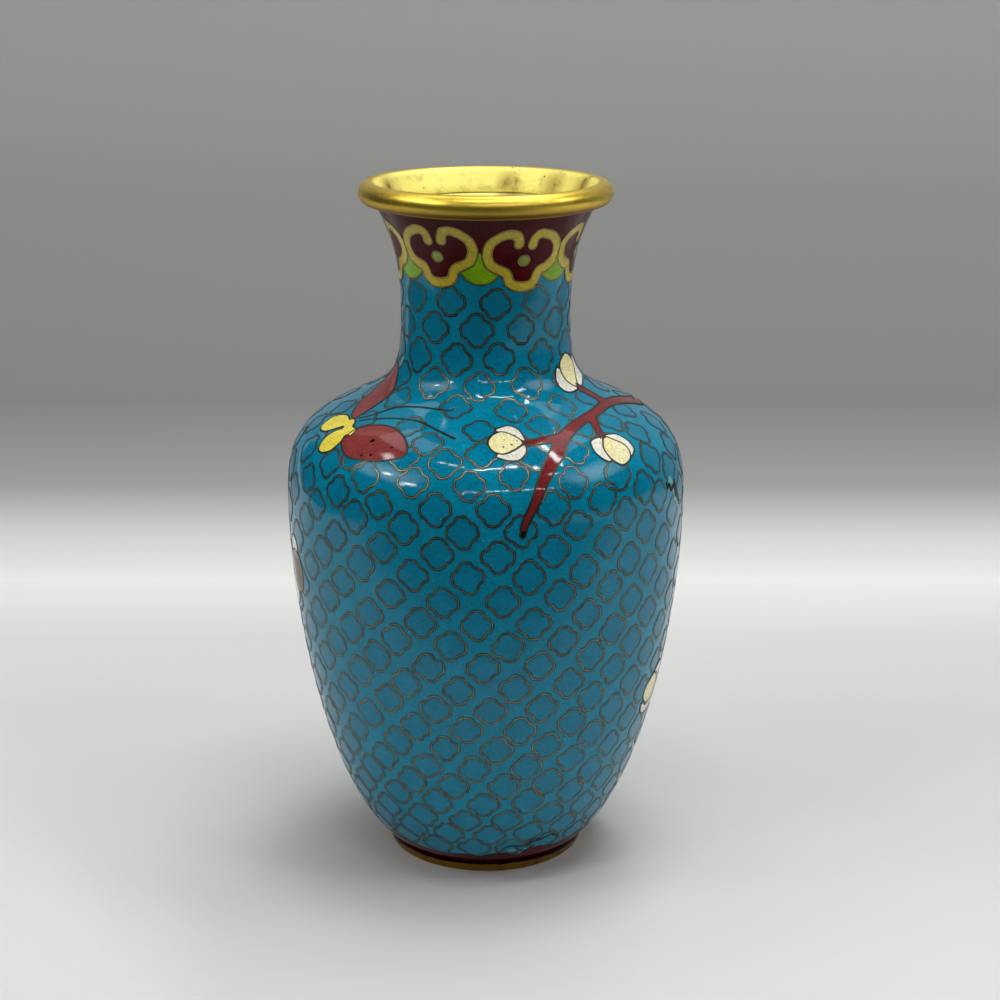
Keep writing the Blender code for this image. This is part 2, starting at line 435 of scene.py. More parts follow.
def cell_shape(tree: GeometryTree, geometry: Socket | Node) -> Socket | Node:
    """Adds the nodes that bend a round form of radius 1 into a four-lobed cell of the named width.

    Args:
        tree: A tree with the inputs Cell width, Lobes and Roundness.
        geometry: A circle or a disc of radius 1.

    Returns:
        The cell, in the plane.
    """
    place = tree.add("GeometryNodeInputPosition")
    flat = tree.add("ShaderNodeVectorMath", {0: place, 1: (1.0, 1.0, 0.0)}, operation="MULTIPLY")
    way = tree.add("ShaderNodeVectorMath", {0: flat}, operation="NORMALIZE")
    x = tree.add("ShaderNodeSeparateXYZ", {0: way}).outputs["X"]
    square = tree.add("ShaderNodeMath", {0: x, 1: x}, operation="MULTIPLY")
    less = tree.add("ShaderNodeMath", {0: square, 1: 1.0}, operation="SUBTRACT")
    both = tree.add("ShaderNodeMath", {0: square, 1: less}, operation="MULTIPLY")
    wave = tree.add("ShaderNodeMath", {0: both, 1: 8.0, 2: 1.0}, operation="MULTIPLY_ADD")
    # The second wave, twice as fast, makes the lobes round and the notches between them sharp.
    lobes, roundness = tree.start["Lobes"], tree.start["Roundness"]
    second = tree.add("ShaderNodeMath", {0: roundness, 1: -2.0}, operation="MULTIPLY")
    base = tree.add("ShaderNodeMath", {0: roundness, 1: 1.0}, operation="ADD")
    slope = tree.add("ShaderNodeMath", {0: wave, 1: second, 2: lobes}, operation="MULTIPLY_ADD")
    lobed = tree.add("ShaderNodeMath", {0: wave, 1: slope, 2: base}, operation="MULTIPLY_ADD")
    tip = tree.add("ShaderNodeMath", {0: lobes, 1: second}, operation="ADD")
    most = tree.add("ShaderNodeMath", {0: tip, 1: base}, operation="ADD")
    width = tree.start["Cell width"]
    across = tree.add("ShaderNodeMath", {0: width, 1: 0.5}, operation="MULTIPLY")
    half = tree.add("ShaderNodeMath", {0: across, 1: most}, operation="DIVIDE")
    size = tree.add("ShaderNodeMath", {0: lobed, 1: half}, operation="MULTIPLY")
    spread = tree.add("ShaderNodeCombineXYZ", {0: size, 1: size, 2: 1.0})
    there = tree.add("ShaderNodeVectorMath", {0: place, 1: spread}, operation="MULTIPLY")
    return tree.add("GeometryNodeSetPosition", {"Geometry": geometry, "Position": there})


def set_out_cells(tree: GeometryTree, cell: Socket | Node) -> Socket | Node:
    """Adds the nodes that put a cell at each point of the source and bend each by hand, as it were.

    Args:
        tree: A tree with the inputs Bending and Seed.
        cell: The form that is repeated.

    Returns:
        The cells, each in its own plane, with the attributes of their points.
    """
    turn, size, squash, number = (
        tree.add("GeometryNodeInputNamedAttribute", {"Name": name}, data_type="FLOAT")
        for name in ("turn", "size", "squash", "number"))
    tall = tree.add("ShaderNodeMath", {0: size, 1: squash}, operation="MULTIPLY")
    spread = tree.add("ShaderNodeCombineXYZ", {0: size, 1: tall, 2: 1.0})
    spin = tree.add("ShaderNodeCombineXYZ", {2: turn})
    many = tree.add("GeometryNodeInstanceOnPoints",
                    {"Points": tree.start["Geometry"], "Instance": cell, "Rotation": spin,
                     "Scale": spread})
    real = tree.add("GeometryNodeRealizeInstances", {0: many})
    place = tree.add("GeometryNodeInputPosition")
    own = tree.add("ShaderNodeCombineXYZ", {2: number})
    apart = tree.add("ShaderNodeVectorMath", {0: place, 1: (1 / (1.25 * MM),) * 3, 2: own},
                     operation="MULTIPLY_ADD")
    noise = tree.add("ShaderNodeTexNoise", {"Vector": apart, "W": tree.start["Seed"], "Scale": 1.0,
                                            "Detail": 2.0, "Roughness": 0.85},
                     noise_dimensions="4D").outputs["Color"]
    middle = tree.add("ShaderNodeVectorMath", {0: noise, 1: (0.5, 0.5, 0.5)}, operation="SUBTRACT")
    flat = tree.add("ShaderNodeVectorMath", {0: middle, 1: (1.0, 1.0, 0.0)}, operation="MULTIPLY")
    bend = tree.add("ShaderNodeVectorMath", {0: flat, "Scale": tree.start["Bending"]}, operation="SCALE")
    return tree.add("GeometryNodeSetPosition", {"Geometry": real, "Offset": bend})


@dataclass(frozen=True)
class EnamelFinish:
    """Opaque fired glass, ground flush and polished: a deep even gloss with small pits and pale specks."""

    name: str
    colour: str
    second: str
    pit: str = "#0b1a1c"
    speck: str = "#7fc6cf"
    roughness: float = 0.07
    cloud: float = 5.0 * MM
    specks: float = 1.0
    pits: float = 1.0
    shine: float = 0.30

    def material(self) -> bpy.types.Material:
        """Makes the enamel's material.

        Returns:
            The new material.
        """
        look = MaterialTree(self.name)
        # Two melts of the same glass lie mixed in clouds a few millimetres wide.
        cloud = look.add("ShaderNodeTexNoise", {"Vector": look.at, "Scale": 1 / self.cloud, "Detail": 4.0,
                                                "Roughness": 0.62}).outputs["Fac"]
        share = look.add("ShaderNodeMapRange", {0: cloud, 1: 0.36, 2: 0.64})
        base = look.add("ShaderNodeMix", {"Factor": share, "A": linear(self.colour),
                                          "B": linear(self.second)}, data_type="RGBA").outputs["Result"]
        # The ground glass keeps a grain of about 0.3 mm, just fine enough to show as a soft mottle.
        grain = look.add("ShaderNodeTexNoise", {"Vector": look.at, "Scale": 1 / (0.33 * MM),
                                                "Detail": 2.0}).outputs["Fac"]
        tone = look.add("ShaderNodeMapRange", {0: grain, 1: 0.3, 2: 0.7, 3: 0.80, 4: 1.20})
        toned = look.add("ShaderNodeVectorMath", {0: base, "Scale": tone}, operation="SCALE")
        # Burst bubbles leave pits about 0.2 mm wide, where dirt has settled; one in a few square millimetres.
        holes = look.dots(2.1 * MM, (0.040, 0.062), 1.0, 0.55 * self.pits)
        pitted = look.add("ShaderNodeMix", {"Factor": holes, "A": toned, "B": linear(self.pit)},
                          data_type="RGBA").outputs["Result"]
        # Unmelted grains show as pale specks.
        grains = look.dots(0.9 * MM, (0.03, 0.14), 0.55, 0.28 * self.specks, draw=1)
        coloured = look.add("ShaderNodeMix", {"Factor": grains, "A": pitted, "B": linear(self.speck)},
                            data_type="RGBA").outputs["Result"]
        look.drive("Base Color", coloured)
        # Hand polishing leaves the gloss a little uneven and the surface wavy over some millimetres.
        gloss = look.add("ShaderNodeMapRange", {0: grain, 1: 0.3, 2: 0.7, 3: self.roughness - 0.03,
                                                4: self.roughness + 0.03})
        worn = look.add("ShaderNodeMath", {0: holes, 1: 0.4, 2: gloss}, operation="MULTIPLY_ADD")
        look.drive("Roughness", worn)
        wave = look.add("ShaderNodeTexNoise", {"Vector": look.at, "Scale": 1 / (3.6 * MM),
                                               "Detail": 1.0}).outputs["Fac"]
        deep = look.add("ShaderNodeMath", {0: holes, 1: -0.6, 2: wave}, operation="MULTIPLY_ADD")
        bump = look.add("ShaderNodeBump", {"Height": deep, "Strength": 0.35, "Distance": 0.05 * MM})
        look.drive("Normal", bump)
        look.shader["IOR"].default_value = 1.5
        look.shader["Specular IOR Level"].default_value = self.shine
        return look.made


@dataclass(frozen=True)
class WireFinish:
    """Gilt copper wire ground flush: a golden line between two dark ones, where grime sits at the glass."""

    name: str
    gold: str
    dark: str
    core: float = 0.42
    glass: str = "#0287ac"
    edge: float = 1.5

    def material(self) -> bpy.types.Material:
        """Makes the wire's material, which reads the attribute across from the piece.

        Returns:
            The new material.
        """
        look = MaterialTree(self.name)
        across = look.add("ShaderNodeAttribute", attribute_name="across").outputs["Fac"]
        off = look.add("ShaderNodeMath", {0: across}, operation="ABSOLUTE")
        # Gilding is worn away over stretches of about 1.3 mm, where the line stays dark.
        patchy = look.add("ShaderNodeTexNoise", {"Vector": look.at, "Scale": 1 / (1.3 * MM),
                                                 "Detail": 3.0}).outputs["Fac"]
        width = look.add("ShaderNodeMapRange", {0: patchy, 1: 0.34, 2: 0.62, 3: 0.12, 4: self.core + 0.1})
        inner = look.add("ShaderNodeMath", {0: width, 1: off}, operation="SUBTRACT")
        metal = look.add("ShaderNodeMapRange", {0: inner, 1: -0.08, 2: 0.12})
        line = look.add("ShaderNodeMix", {"Factor": metal, "A": linear(self.dark), "B": linear(self.gold)},
                        data_type="RGBA").outputs["Result"]
        # The dirt's outer edge against the glass wanders by 0.05 mm over every third of a millimetre.
        ragged = look.add("ShaderNodeTexNoise", {"Vector": look.at, "Scale": 1 / (0.34 * MM),
                                                 "Detail": 1.0}).outputs["Fac"]
        reach = look.add("ShaderNodeMapRange", {0: ragged, 1: 0.36, 2: 0.64, 3: self.edge - 0.42,
                                                4: self.edge})
        beyond = look.add("ShaderNodeMath", {0: off, 1: reach}, operation="SUBTRACT")
        clear = look.add("ShaderNodeMapRange", {0: beyond, 1: -0.06, 2: 0.08})
        colour = look.add("ShaderNodeMix", {"Factor": clear, "A": line, "B": linear(self.glass)},
                          data_type="RGBA").outputs["Result"]
        look.drive("Base Color", colour)
        look.drive("Metallic", metal)
        look.shader["Roughness"].default_value = 0.40
        return look.made


@dataclass(frozen=True)
class GiltFinish:
    """Fire-gilt brass, worn by rubbing and stained: a warm metal gloss, broken by dull brown clouds and pits;
    its underside can be painted brown as shade.
    """

    name: str
    gold: str
    stain: str
    roughness: float
    stained: float
    relief: float = 1.0
    metal: float = 1.0
    # Share of painted shade, brown, on the faces that look down.
    under: float = 0.0
    satin: float = 0.0
    satin_gold: str = "#fff486"
    spill: float = 0.0
    spilt: str = "#1d0608"
    smudges: tuple[tuple[float, float, float, float], ...] = ()

    def stains_and_painted_underside_shade(self, look: MaterialTree, cloud: Socket | Node, normal: Socket | Node) -> Socket | Node:
        """Adds the brown stains of the gilding and the painted shade on its underside.

        Args:
            look: The material's tree.
            cloud: The noise that makes ragged edges.
            normal: Which way the surface faces.

        Returns:
            How far the stains and the painted shade cover the gold, from 0 to 1.
        """
        share = look.add("ShaderNodeMapRange", {0: cloud, 1: 0.52, 2: 0.74, 4: self.stained})
        # Small corrosion pits, 0.15 to 0.3 mm wide.
        pits = look.dots(1.5 * MM, (0.05, 0.12), 1.0, 0.38)
        dull = look.add("ShaderNodeMath", {0: share, 1: pits}, operation="MAXIMUM")
        # Painted shade: the underside, which faces down and away from the lamps, is painted brown.
        facing = look.add("ShaderNodeSeparateXYZ", {0: normal}).outputs["Z"]
        low = look.add("ShaderNodeMapRange", {0: facing, 1: -0.7, 2: -0.1, 3: self.under, 4: 0.0})
        dull = look.add("ShaderNodeMath", {0: dull, 1: low}, operation="MAXIMUM")
        # Brown smudges of 2 to 3 mm where the photograph shows them, with the clouds' ragged edges.
        for x, y, z, radius in self.smudges:
            far = look.add("ShaderNodeVectorMath", {0: look.at, 1: (x * MM, y * MM, z * MM)},
                           operation="DISTANCE").outputs["Value"]
            near = look.add("ShaderNodeMapRange", {0: far, 1: 0.2 * radius * MM, 2: radius * MM, 3: 0.8,
                                                   4: 0.0})
            ragged = look.add("ShaderNodeMath", {0: near, 1: cloud}, operation="MULTIPLY")
            dull = look.add("ShaderNodeMath", {0: ragged, 1: 1.6, 2: dull}, operation="MULTIPLY_ADD",
                            use_clamp=True)
        return dull

    def unrubbed(self, look: MaterialTree, normal: Socket | Node) -> Socket | Node:
        """Adds the share of pale satin on the side that faces the vase's axis, which nothing rubs.

        Args:
            look: The material's tree.
            normal: Which way the surface faces.

        Returns:
            The share.
        """
        flat = look.add("ShaderNodeVectorMath", {0: look.at, 1: (1.0, 1.0, 0.0)}, operation="MULTIPLY")
        spoke = look.add("ShaderNodeVectorMath", {0: flat}, operation="NORMALIZE")
        away = look.add("ShaderNodeVectorMath", {0: spoke, 1: normal},
                        operation="DOT_PRODUCT").outputs["Value"]
        return look.add("ShaderNodeMapRange", {0: away, 1: -0.55, 2: -0.15, 3: self.satin, 4: 0.0})

    def material(self) -> bpy.types.Material:
        """Makes the gilding's material.

        Returns:
            The new material.
        """
        look = MaterialTree(self.name)
        # Stains gather in clouds of about 3 mm with ragged edges.
        cloud = look.add("ShaderNodeTexNoise", {"Vector": look.at, "Scale": 1 / (3.2 * MM), "Detail": 6.0,
                                                "Roughness": 0.68, "Distortion": 0.4}).outputs["Fac"]
        normal = look.add("ShaderNodeNewGeometry").outputs["Normal"]
        dull = self.stains_and_painted_underside_shade(look, cloud, normal)
        pale = self.unrubbed(look, normal)
        clean = look.add("ShaderNodeMix", {"Factor": pale, "A": linear(self.gold),
                                           "B": linear(self.satin_gold)}, data_type="RGBA").outputs["Result"]
        colour = look.add("ShaderNodeMix", {"Factor": dull, "A": clean, "B": linear(self.stain)},
                          data_type="RGBA").outputs["Result"]
        if self.spill:
            # Dark red glass has run over the metal's top edge, down to this height in millimetres and uneven.
            height = look.add("ShaderNodeSeparateXYZ", {0: look.at}).outputs["Z"]
            level = look.add("ShaderNodeMath", {0: cloud, 1: 0.9 * MM, 2: height}, operation="MULTIPLY_ADD")
            run = look.add("ShaderNodeMapRange", {0: level, 1: (self.spill + 0.38) * MM,
                                                  2: (self.spill + 0.5) * MM})
            colour = look.add("ShaderNodeMix", {"Factor": run, "A": colour, "B": linear(self.spilt)},
                              data_type="RGBA").outputs["Result"]
        look.drive("Base Color", colour)
        metallic = look.add("ShaderNodeMath", {0: pale, 1: -0.65, 2: self.metal}, operation="MULTIPLY_ADD")
        look.drive("Metallic", metallic)
        # Rubbing leaves marks about 0.5 mm apart.
        rub = look.add("ShaderNodeTexNoise", {"Vector": look.at, "Scale": 1 / (0.5 * MM),
                                              "Detail": 2.0}).outputs["Fac"]
        rough = look.add("ShaderNodeMapRange", {0: rub, 1: 0.3, 2: 0.7, 3: self.roughness - 0.05,
                                                4: self.roughness + 0.08})
        duller = look.add("ShaderNodeMath", {0: dull, 1: 0.25, 2: rough}, operation="MULTIPLY_ADD")
        soft = look.add("ShaderNodeMath", {0: pale, 1: 0.22, 2: duller}, operation="MULTIPLY_ADD")
        look.drive("Roughness", soft)
        relief = look.add("ShaderNodeMath", {0: dull, 1: -0.5, 2: rub}, operation="MULTIPLY_ADD")
        bump = look.add("ShaderNodeBump", {"Height": relief, "Strength": 0.3 * self.relief,
                                           "Distance": 0.03 * MM})
        look.drive("Normal", bump)
        return look.made


class Glass(Enum):
    """The enamel colours of the vase."""

    GROUND = EnamelFinish("turquoise_enamel", "#028dae", "#0383a1")
    CELL = EnamelFinish("deep_turquoise_enamel", "#0285a7", "#037a99", cloud=3.0 * MM)
    COUNTER = EnamelFinish("plain_turquoise_enamel", "#0c7f98", "#0a7488", roughness=0.22)
    BRICK = EnamelFinish("brick_red_enamel", "#872b2d", "#732124", pit="#240b0a", speck="#b4605c")
    ROSE = EnamelFinish("dull_red_enamel", "#974240", "#863635", pit="#240b0a", speck="#c07a76")
    WINE = EnamelFinish("dark_red_enamel", "#5a0a12", "#46070d", pit="#120304", speck="#7a3a38", specks=0.6,
                        shine=0.10)
    MUSTARD = EnamelFinish("yellow_ochre_enamel", "#dcca40", "#cdb236", pit="#4c3a08", speck="#f0e39a")
    LEMON = EnamelFinish("yellow_enamel", "#fff060", "#ffe44c", pit="#5c4a10", speck="#fff6b8")
    LIME = EnamelFinish("lime_green_enamel", "#90c614", "#80b40e", pit="#24380a", speck="#cfe68c")
    SAGE = EnamelFinish("grey_green_enamel", "#98b24c", "#88a242", pit="#28301a", speck="#c8d4a8")
    CREAM = EnamelFinish("cream_enamel", "#fff8c6", "#fcf0ae", pit="#6a5a38", speck="#ffffff", pits=0.7)
    WHITE = EnamelFinish("white_enamel", "#fbf8ea", "#f0eddd", pit="#70685a", speck="#ffffff", pits=0.6)
    OCHRE = EnamelFinish("brown_enamel", "#7a5526", "#5e3f1c", pit="#20140a", speck="#b89a6a")
    # Black glass for the burnt tip of the branch and the pits, and painted shade in the crack.
    SCAR = EnamelFinish("burnt_enamel_and_painted_crack_shade", "#10120f", "#0a0c0a", pit="#050505", speck="#2a2c28",
                        shine=0.06)
    # Painted glints: pale glass standing in for light caught on the broken glass.
    GLINT = EnamelFinish("painted_glint_enamel", "#7abfc0", "#4f9ea8", pit="#1c3c3c", speck="#d8f4ec")


class Metal(Enum):
    """The metal finishes of the vase."""

    INSIDE = GiltFinish("gilding_inside", "#fffa94", "#a07830", 0.55, 0.35, relief=0.3, metal=0.35, smudges=(
        (3.2, 12.8, 96.6, 2.4), (-12.6, 4.0, 97.6, 2.2), (11.6, 8.0, 96.8, 2.8), (13.2, 1.0, 98.6, 2.0)))
    # Painted shade: under paints the mouth ring's underside brown.
    RIM = GiltFinish("gilding_mouth_ring", "#f2d254", "#8a5e22", 0.34, 0.5, relief=0.35, under=0.95,
                     satin=1.0,
                     smudges=((3.2, 13.8, 98.0, 2.2), (-13.4, 4.6, 98.4, 3.6), (9.6, 10.4, 98.0, 2.8),
                              (13.2, 4.6, 98.4, 3.0)))
    FOOT = GiltFinish("gilding_foot_ring", "#9c7630", "#4c3216", 0.32, 0.8, spill=1.27)
    WIRE = WireFinish("gilt_copper_wire", "#949a74", "#04171a", core=0.22, edge=1.10)
    FINE_WIRE = WireFinish("fine_gilt_wire", "#b8a25c", "#241c0c", core=0.5)
    DARK_WIRE = WireFinish("tarnished_copper_wire", "#4c4a34", "#10150f", core=0.2)


class Palette:
    """Makes each material once, when a piece first asks for it."""

    def __init__(self) -> None:
        """Starts with no material made."""
        self.made: dict[Enum, bpy.types.Material] = {}

    def get(self, finish: Enum) -> bpy.types.Material:
        """Finds or makes a material.

        Args:
            finish: The finish that it shows.

        Returns:
            The material.
        """
        if finish not in self.made:
            self.made[finish] = finish.value.material()
        return self.made[finish]


PALETTE = Palette()
SURFACE = VaseSurface(Outline())
GUIDE = SURFACE.guide()


def hand_over(piece: bpy.types.Object, slot: str, *nodes: str) -> None:
    """Hangs a finished piece on the body, hides the CAD nodes that it stands for and logs its triangles.

    Args:
        piece: The finished piece.
        slot: The record's material slot; not used.
        *nodes: The CAD nodes that the piece replaces.
    """
    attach(piece, BODY)
    if nodes:
        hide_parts(*nodes)
    LOG.info("%s: %d triangles", piece.name, sum(len(face.vertices) - 2 for face in piece.data.polygons))


def turned(name: str, profile: list[Point], finish: Enum, closed: bool = True) -> bpy.types.Object:
    """Turns a profile round the vase's axis with a Geometry Nodes tree.

    Args:
        name: Name of the piece.
        profile: Radius and height of each point, round the section.
        finish: The piece's finish.
        closed: Whether the section is a closed loop; an open one starts and ends on the axis.

    Returns:
        The new piece.
    """
    tree = GeometryTree("turned_on_the_axis", {"Segments": ROUND_SEGMENTS, "Guide radius": 10.0 * MM,
                                               "Material": PALETTE.get(finish)})
    section = tree.add("GeometryNodeMeshToCurve", {0: tree.start["Geometry"]})
    place = tree.add("GeometryNodeInputPosition")
    parts = tree.add("ShaderNodeSeparateXYZ", {0: place}).outputs
    out = tree.add("ShaderNodeMath", {0: parts["X"], 1: tree.start["Guide radius"]}, operation="SUBTRACT")
    down = tree.add("ShaderNodeMath", {0: parts["Z"], 1: -1.0}, operation="MULTIPLY")
    there = tree.add("ShaderNodeCombineXYZ", {0: out, 1: down})
    laid = tree.add("GeometryNodeSetPosition", {"Geometry": section, "Position": there})
    circle = tree.add("GeometryNodeCurvePrimitiveCircle",
                      {"Resolution": tree.start["Segments"], "Radius": tree.start["Guide radius"]})
    level = tree.add("GeometryNodeSetCurveNormal", {0: circle}, mode="Z_UP")
    swept = tree.add("GeometryNodeCurveToMesh", {"Curve": level, "Profile Curve": laid})
    tree.end(tree.add("GeometryNodeMergeByDistance", {"Geometry": swept, "Distance": MERGED}))
    count = len(profile)
    edges = [(k, (k + 1) % count) for k in range(count if closed else count - 1)]
    source = source_mesh(name + "_profile", [(r, 0.0, z) for r, z in profile], edges)
    return tree.make(source, name)


def arc_points(centre: Point, radius: float, start: float, end: float, steps: int) -> list[Point]:
    """Returns points of a circle's arc between two angles in degrees, both ends included."""
    angles = np.radians(np.linspace(start, end, steps))
    return [(centre[0] + radius * math.cos(a), centre[1] + radius * math.sin(a)) for a in angles]


def ellipse(at: Point, half_width: float, half_height: float, count: int) -> list[Point]:
    """Returns evenly spaced points round an ellipse."""
    return [(at[0] + half_width * math.cos(a), at[1] + half_height * math.sin(a))
            for a in np.linspace(0, 2 * math.pi, count + 1)[:-1]]


def heights(node: str) -> Point:
    """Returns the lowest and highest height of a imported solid."""
    low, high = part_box(node)
    return low.z, high.z


@dataclass
class Vessel:
    """The spun copper vessel with its enamel ground, the ring at its mouth and the ring at its foot."""

    enamel: float = 0.7 * MM
    wall: float = 0.7 * MM
    gap: float = 0.3 * MM
    floor: float = 0.8 * MM
    ground_depth: float = 0.08 * MM
    ground_step: float = 0.6 * MM
    bead_radius: float = 1.6 * MM
    lip_radius: float = 13.7 * MM
    tread: float = 1.7 * MM
    rounding: float = 0.25 * MM
    base_rounding: float = 0.1 * MM
    lip: tuple[Point, ...] = ((1.85 * MM, 1.55 * MM), (2.3 * MM, 0.85 * MM))
    seat: Point = (0.05 * MM, 0.15 * MM)
    ledge: float = 1.6 * MM
    ledge_fall: float = 0.2 * MM
    foot_taper: Point = (0.03 * MM, 0.05 * MM)
    tread_inset: float = 0.5 * MM
    socket_radius: float = 13.85 * MM
    joint_depth: float = 0.02 * MM

    def ground(self) -> bpy.types.Object:
        """Makes the turquoise glass coat.

        Returns:
            The coat, from the foot ring to the mouth ring.
        """
        outer = SURFACE.sections(0.0, SURFACE.length, -self.ground_depth, self.ground_step)
        inner = SURFACE.sections(SURFACE.length, 0.0, -self.enamel, 2 * self.ground_step)
        low, high = heights("enamel_coat")
        kept = [(r, min(max(z, low), high)) for r, z in outer + inner]
        return turned("enamel_ground", kept, Glass.GROUND)

    def inside(self) -> bpy.types.Object:
        """Makes the gilt copper vessel.

        Returns:
            The vessel, whose inside shows in the mouth.
        """
        low, high = heights("copper_body")
        outer = SURFACE.sections(0.0, SURFACE.length, -(self.enamel + self.gap), 3 * self.ground_step)
        inner = SURFACE.sections(SURFACE.length, 0.0, -(self.enamel + self.gap + self.wall),
                                 2 * self.ground_step)
        shell = [(r, min(z, high)) for r, z in outer if z > low]
        hollow = [(r, min(z, high)) for r, z in inner if z > low + self.floor]
        profile = [(0.0, low), (shell[0][0], low)] + shell + hollow
        profile += [(hollow[-1][0], low + self.floor), (0.0, low + self.floor)]
        return turned("gilt_inside", profile, Metal.INSIDE, closed=False)

    def counter_enamel(self) -> bpy.types.Object:
        """Makes the counter-enamel.

        Returns:
            The plain enamel on the underside.
        """
        low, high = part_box("base_enamel")
        radius, soft = high.x, self.base_rounding
        profile = [(0.0, low.z), (radius - soft, low.z), (radius, low.z + soft), (radius, high.z),
                   (0.0, high.z)]
        return turned("counter_enamel_base", profile, Glass.COUNTER, closed=False)

    def mouth_ring(self) -> bpy.types.Object:
        """Makes the mouth ring.

        Returns:
            The round gilt ring, with the lip that leads inside.
        """
        low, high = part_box("mouth_rim")
        centre = (high.x - self.bead_radius, high.z - self.bead_radius)
        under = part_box("enamel_coat")[1].z
        bead = arc_points(centre, self.bead_radius, -90, 150, 34)
        bead[0] = (bead[0][0], low.z)
        lip = [(centre[0] - back, low.z + up) for back, up in self.lip]
        lip += [(self.lip_radius, low.z), (self.lip_radius, under)]
        edge = SURFACE.section(SURFACE.length)[0]
        seat = [(edge - self.seat[0], under), (edge + self.seat[1], low.z)]
        return turned("mouth_ring", bead + lip + seat, Metal.RIM)

    def foot_ring(self) -> bpy.types.Object:
        """Makes the foot ring.

        Returns:
            The gilt ring that the vase stands on.
        """
        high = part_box("foot_ring")[1]
        outer, soft = high.x, self.rounding
        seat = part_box("enamel_coat")[0].z - self.joint_depth
        tread_out = outer - self.tread_inset
        inner = tread_out - self.tread
        profile = arc_points((inner + soft, soft), soft, 180, 270, 6)
        profile += arc_points((tread_out - soft, soft), soft, 270, 360, 6)
        profile += [(outer - self.foot_taper[0], self.ledge - self.ledge_fall), (outer, self.ledge),
                    (outer - self.foot_taper[1], seat), (self.socket_radius, seat),
                    (self.socket_radius, high.z), (inner, high.z)]
        return turned("gilt_foot_ring", profile, Metal.FOOT)

    def build(self) -> None:
        """Makes and hands over the turned pieces."""
        hand_over(self.ground(), "enamel", "enamel_coat")
        hand_over(self.inside(), "gilt_copper", "copper_body")
        hand_over(self.counter_enamel(), "counter_enamel", "base_enamel")
        hand_over(self.mouth_ring(), "gilt_rim", "mouth_rim")
        hand_over(self.foot_ring(), "gilt_foot", "foot_ring")


@dataclass(frozen=True)
class CellRow:
    """A row of cells round the vase: those in front by angle and arc, the rest evenly spaced behind."""

    front: tuple[Point, ...]
    pitch: float

    def places(self) -> list[Point]:
        """Sets out the row, in front and behind.

        Returns:
            Angle in degrees and arc in millimetres of every cell.
        """
        first, last = self.front[0], self.front[-1]
        gap = 360 - (last[0] - first[0])
        count = max(1, round(gap / self.pitch)) - 1
        arc = sum(place[1] for place in self.front) / len(self.front)
        step = gap / (count + 1)
        return list(self.front) + [(last[0] + step * (k + 1), arc) for k in range(count)]


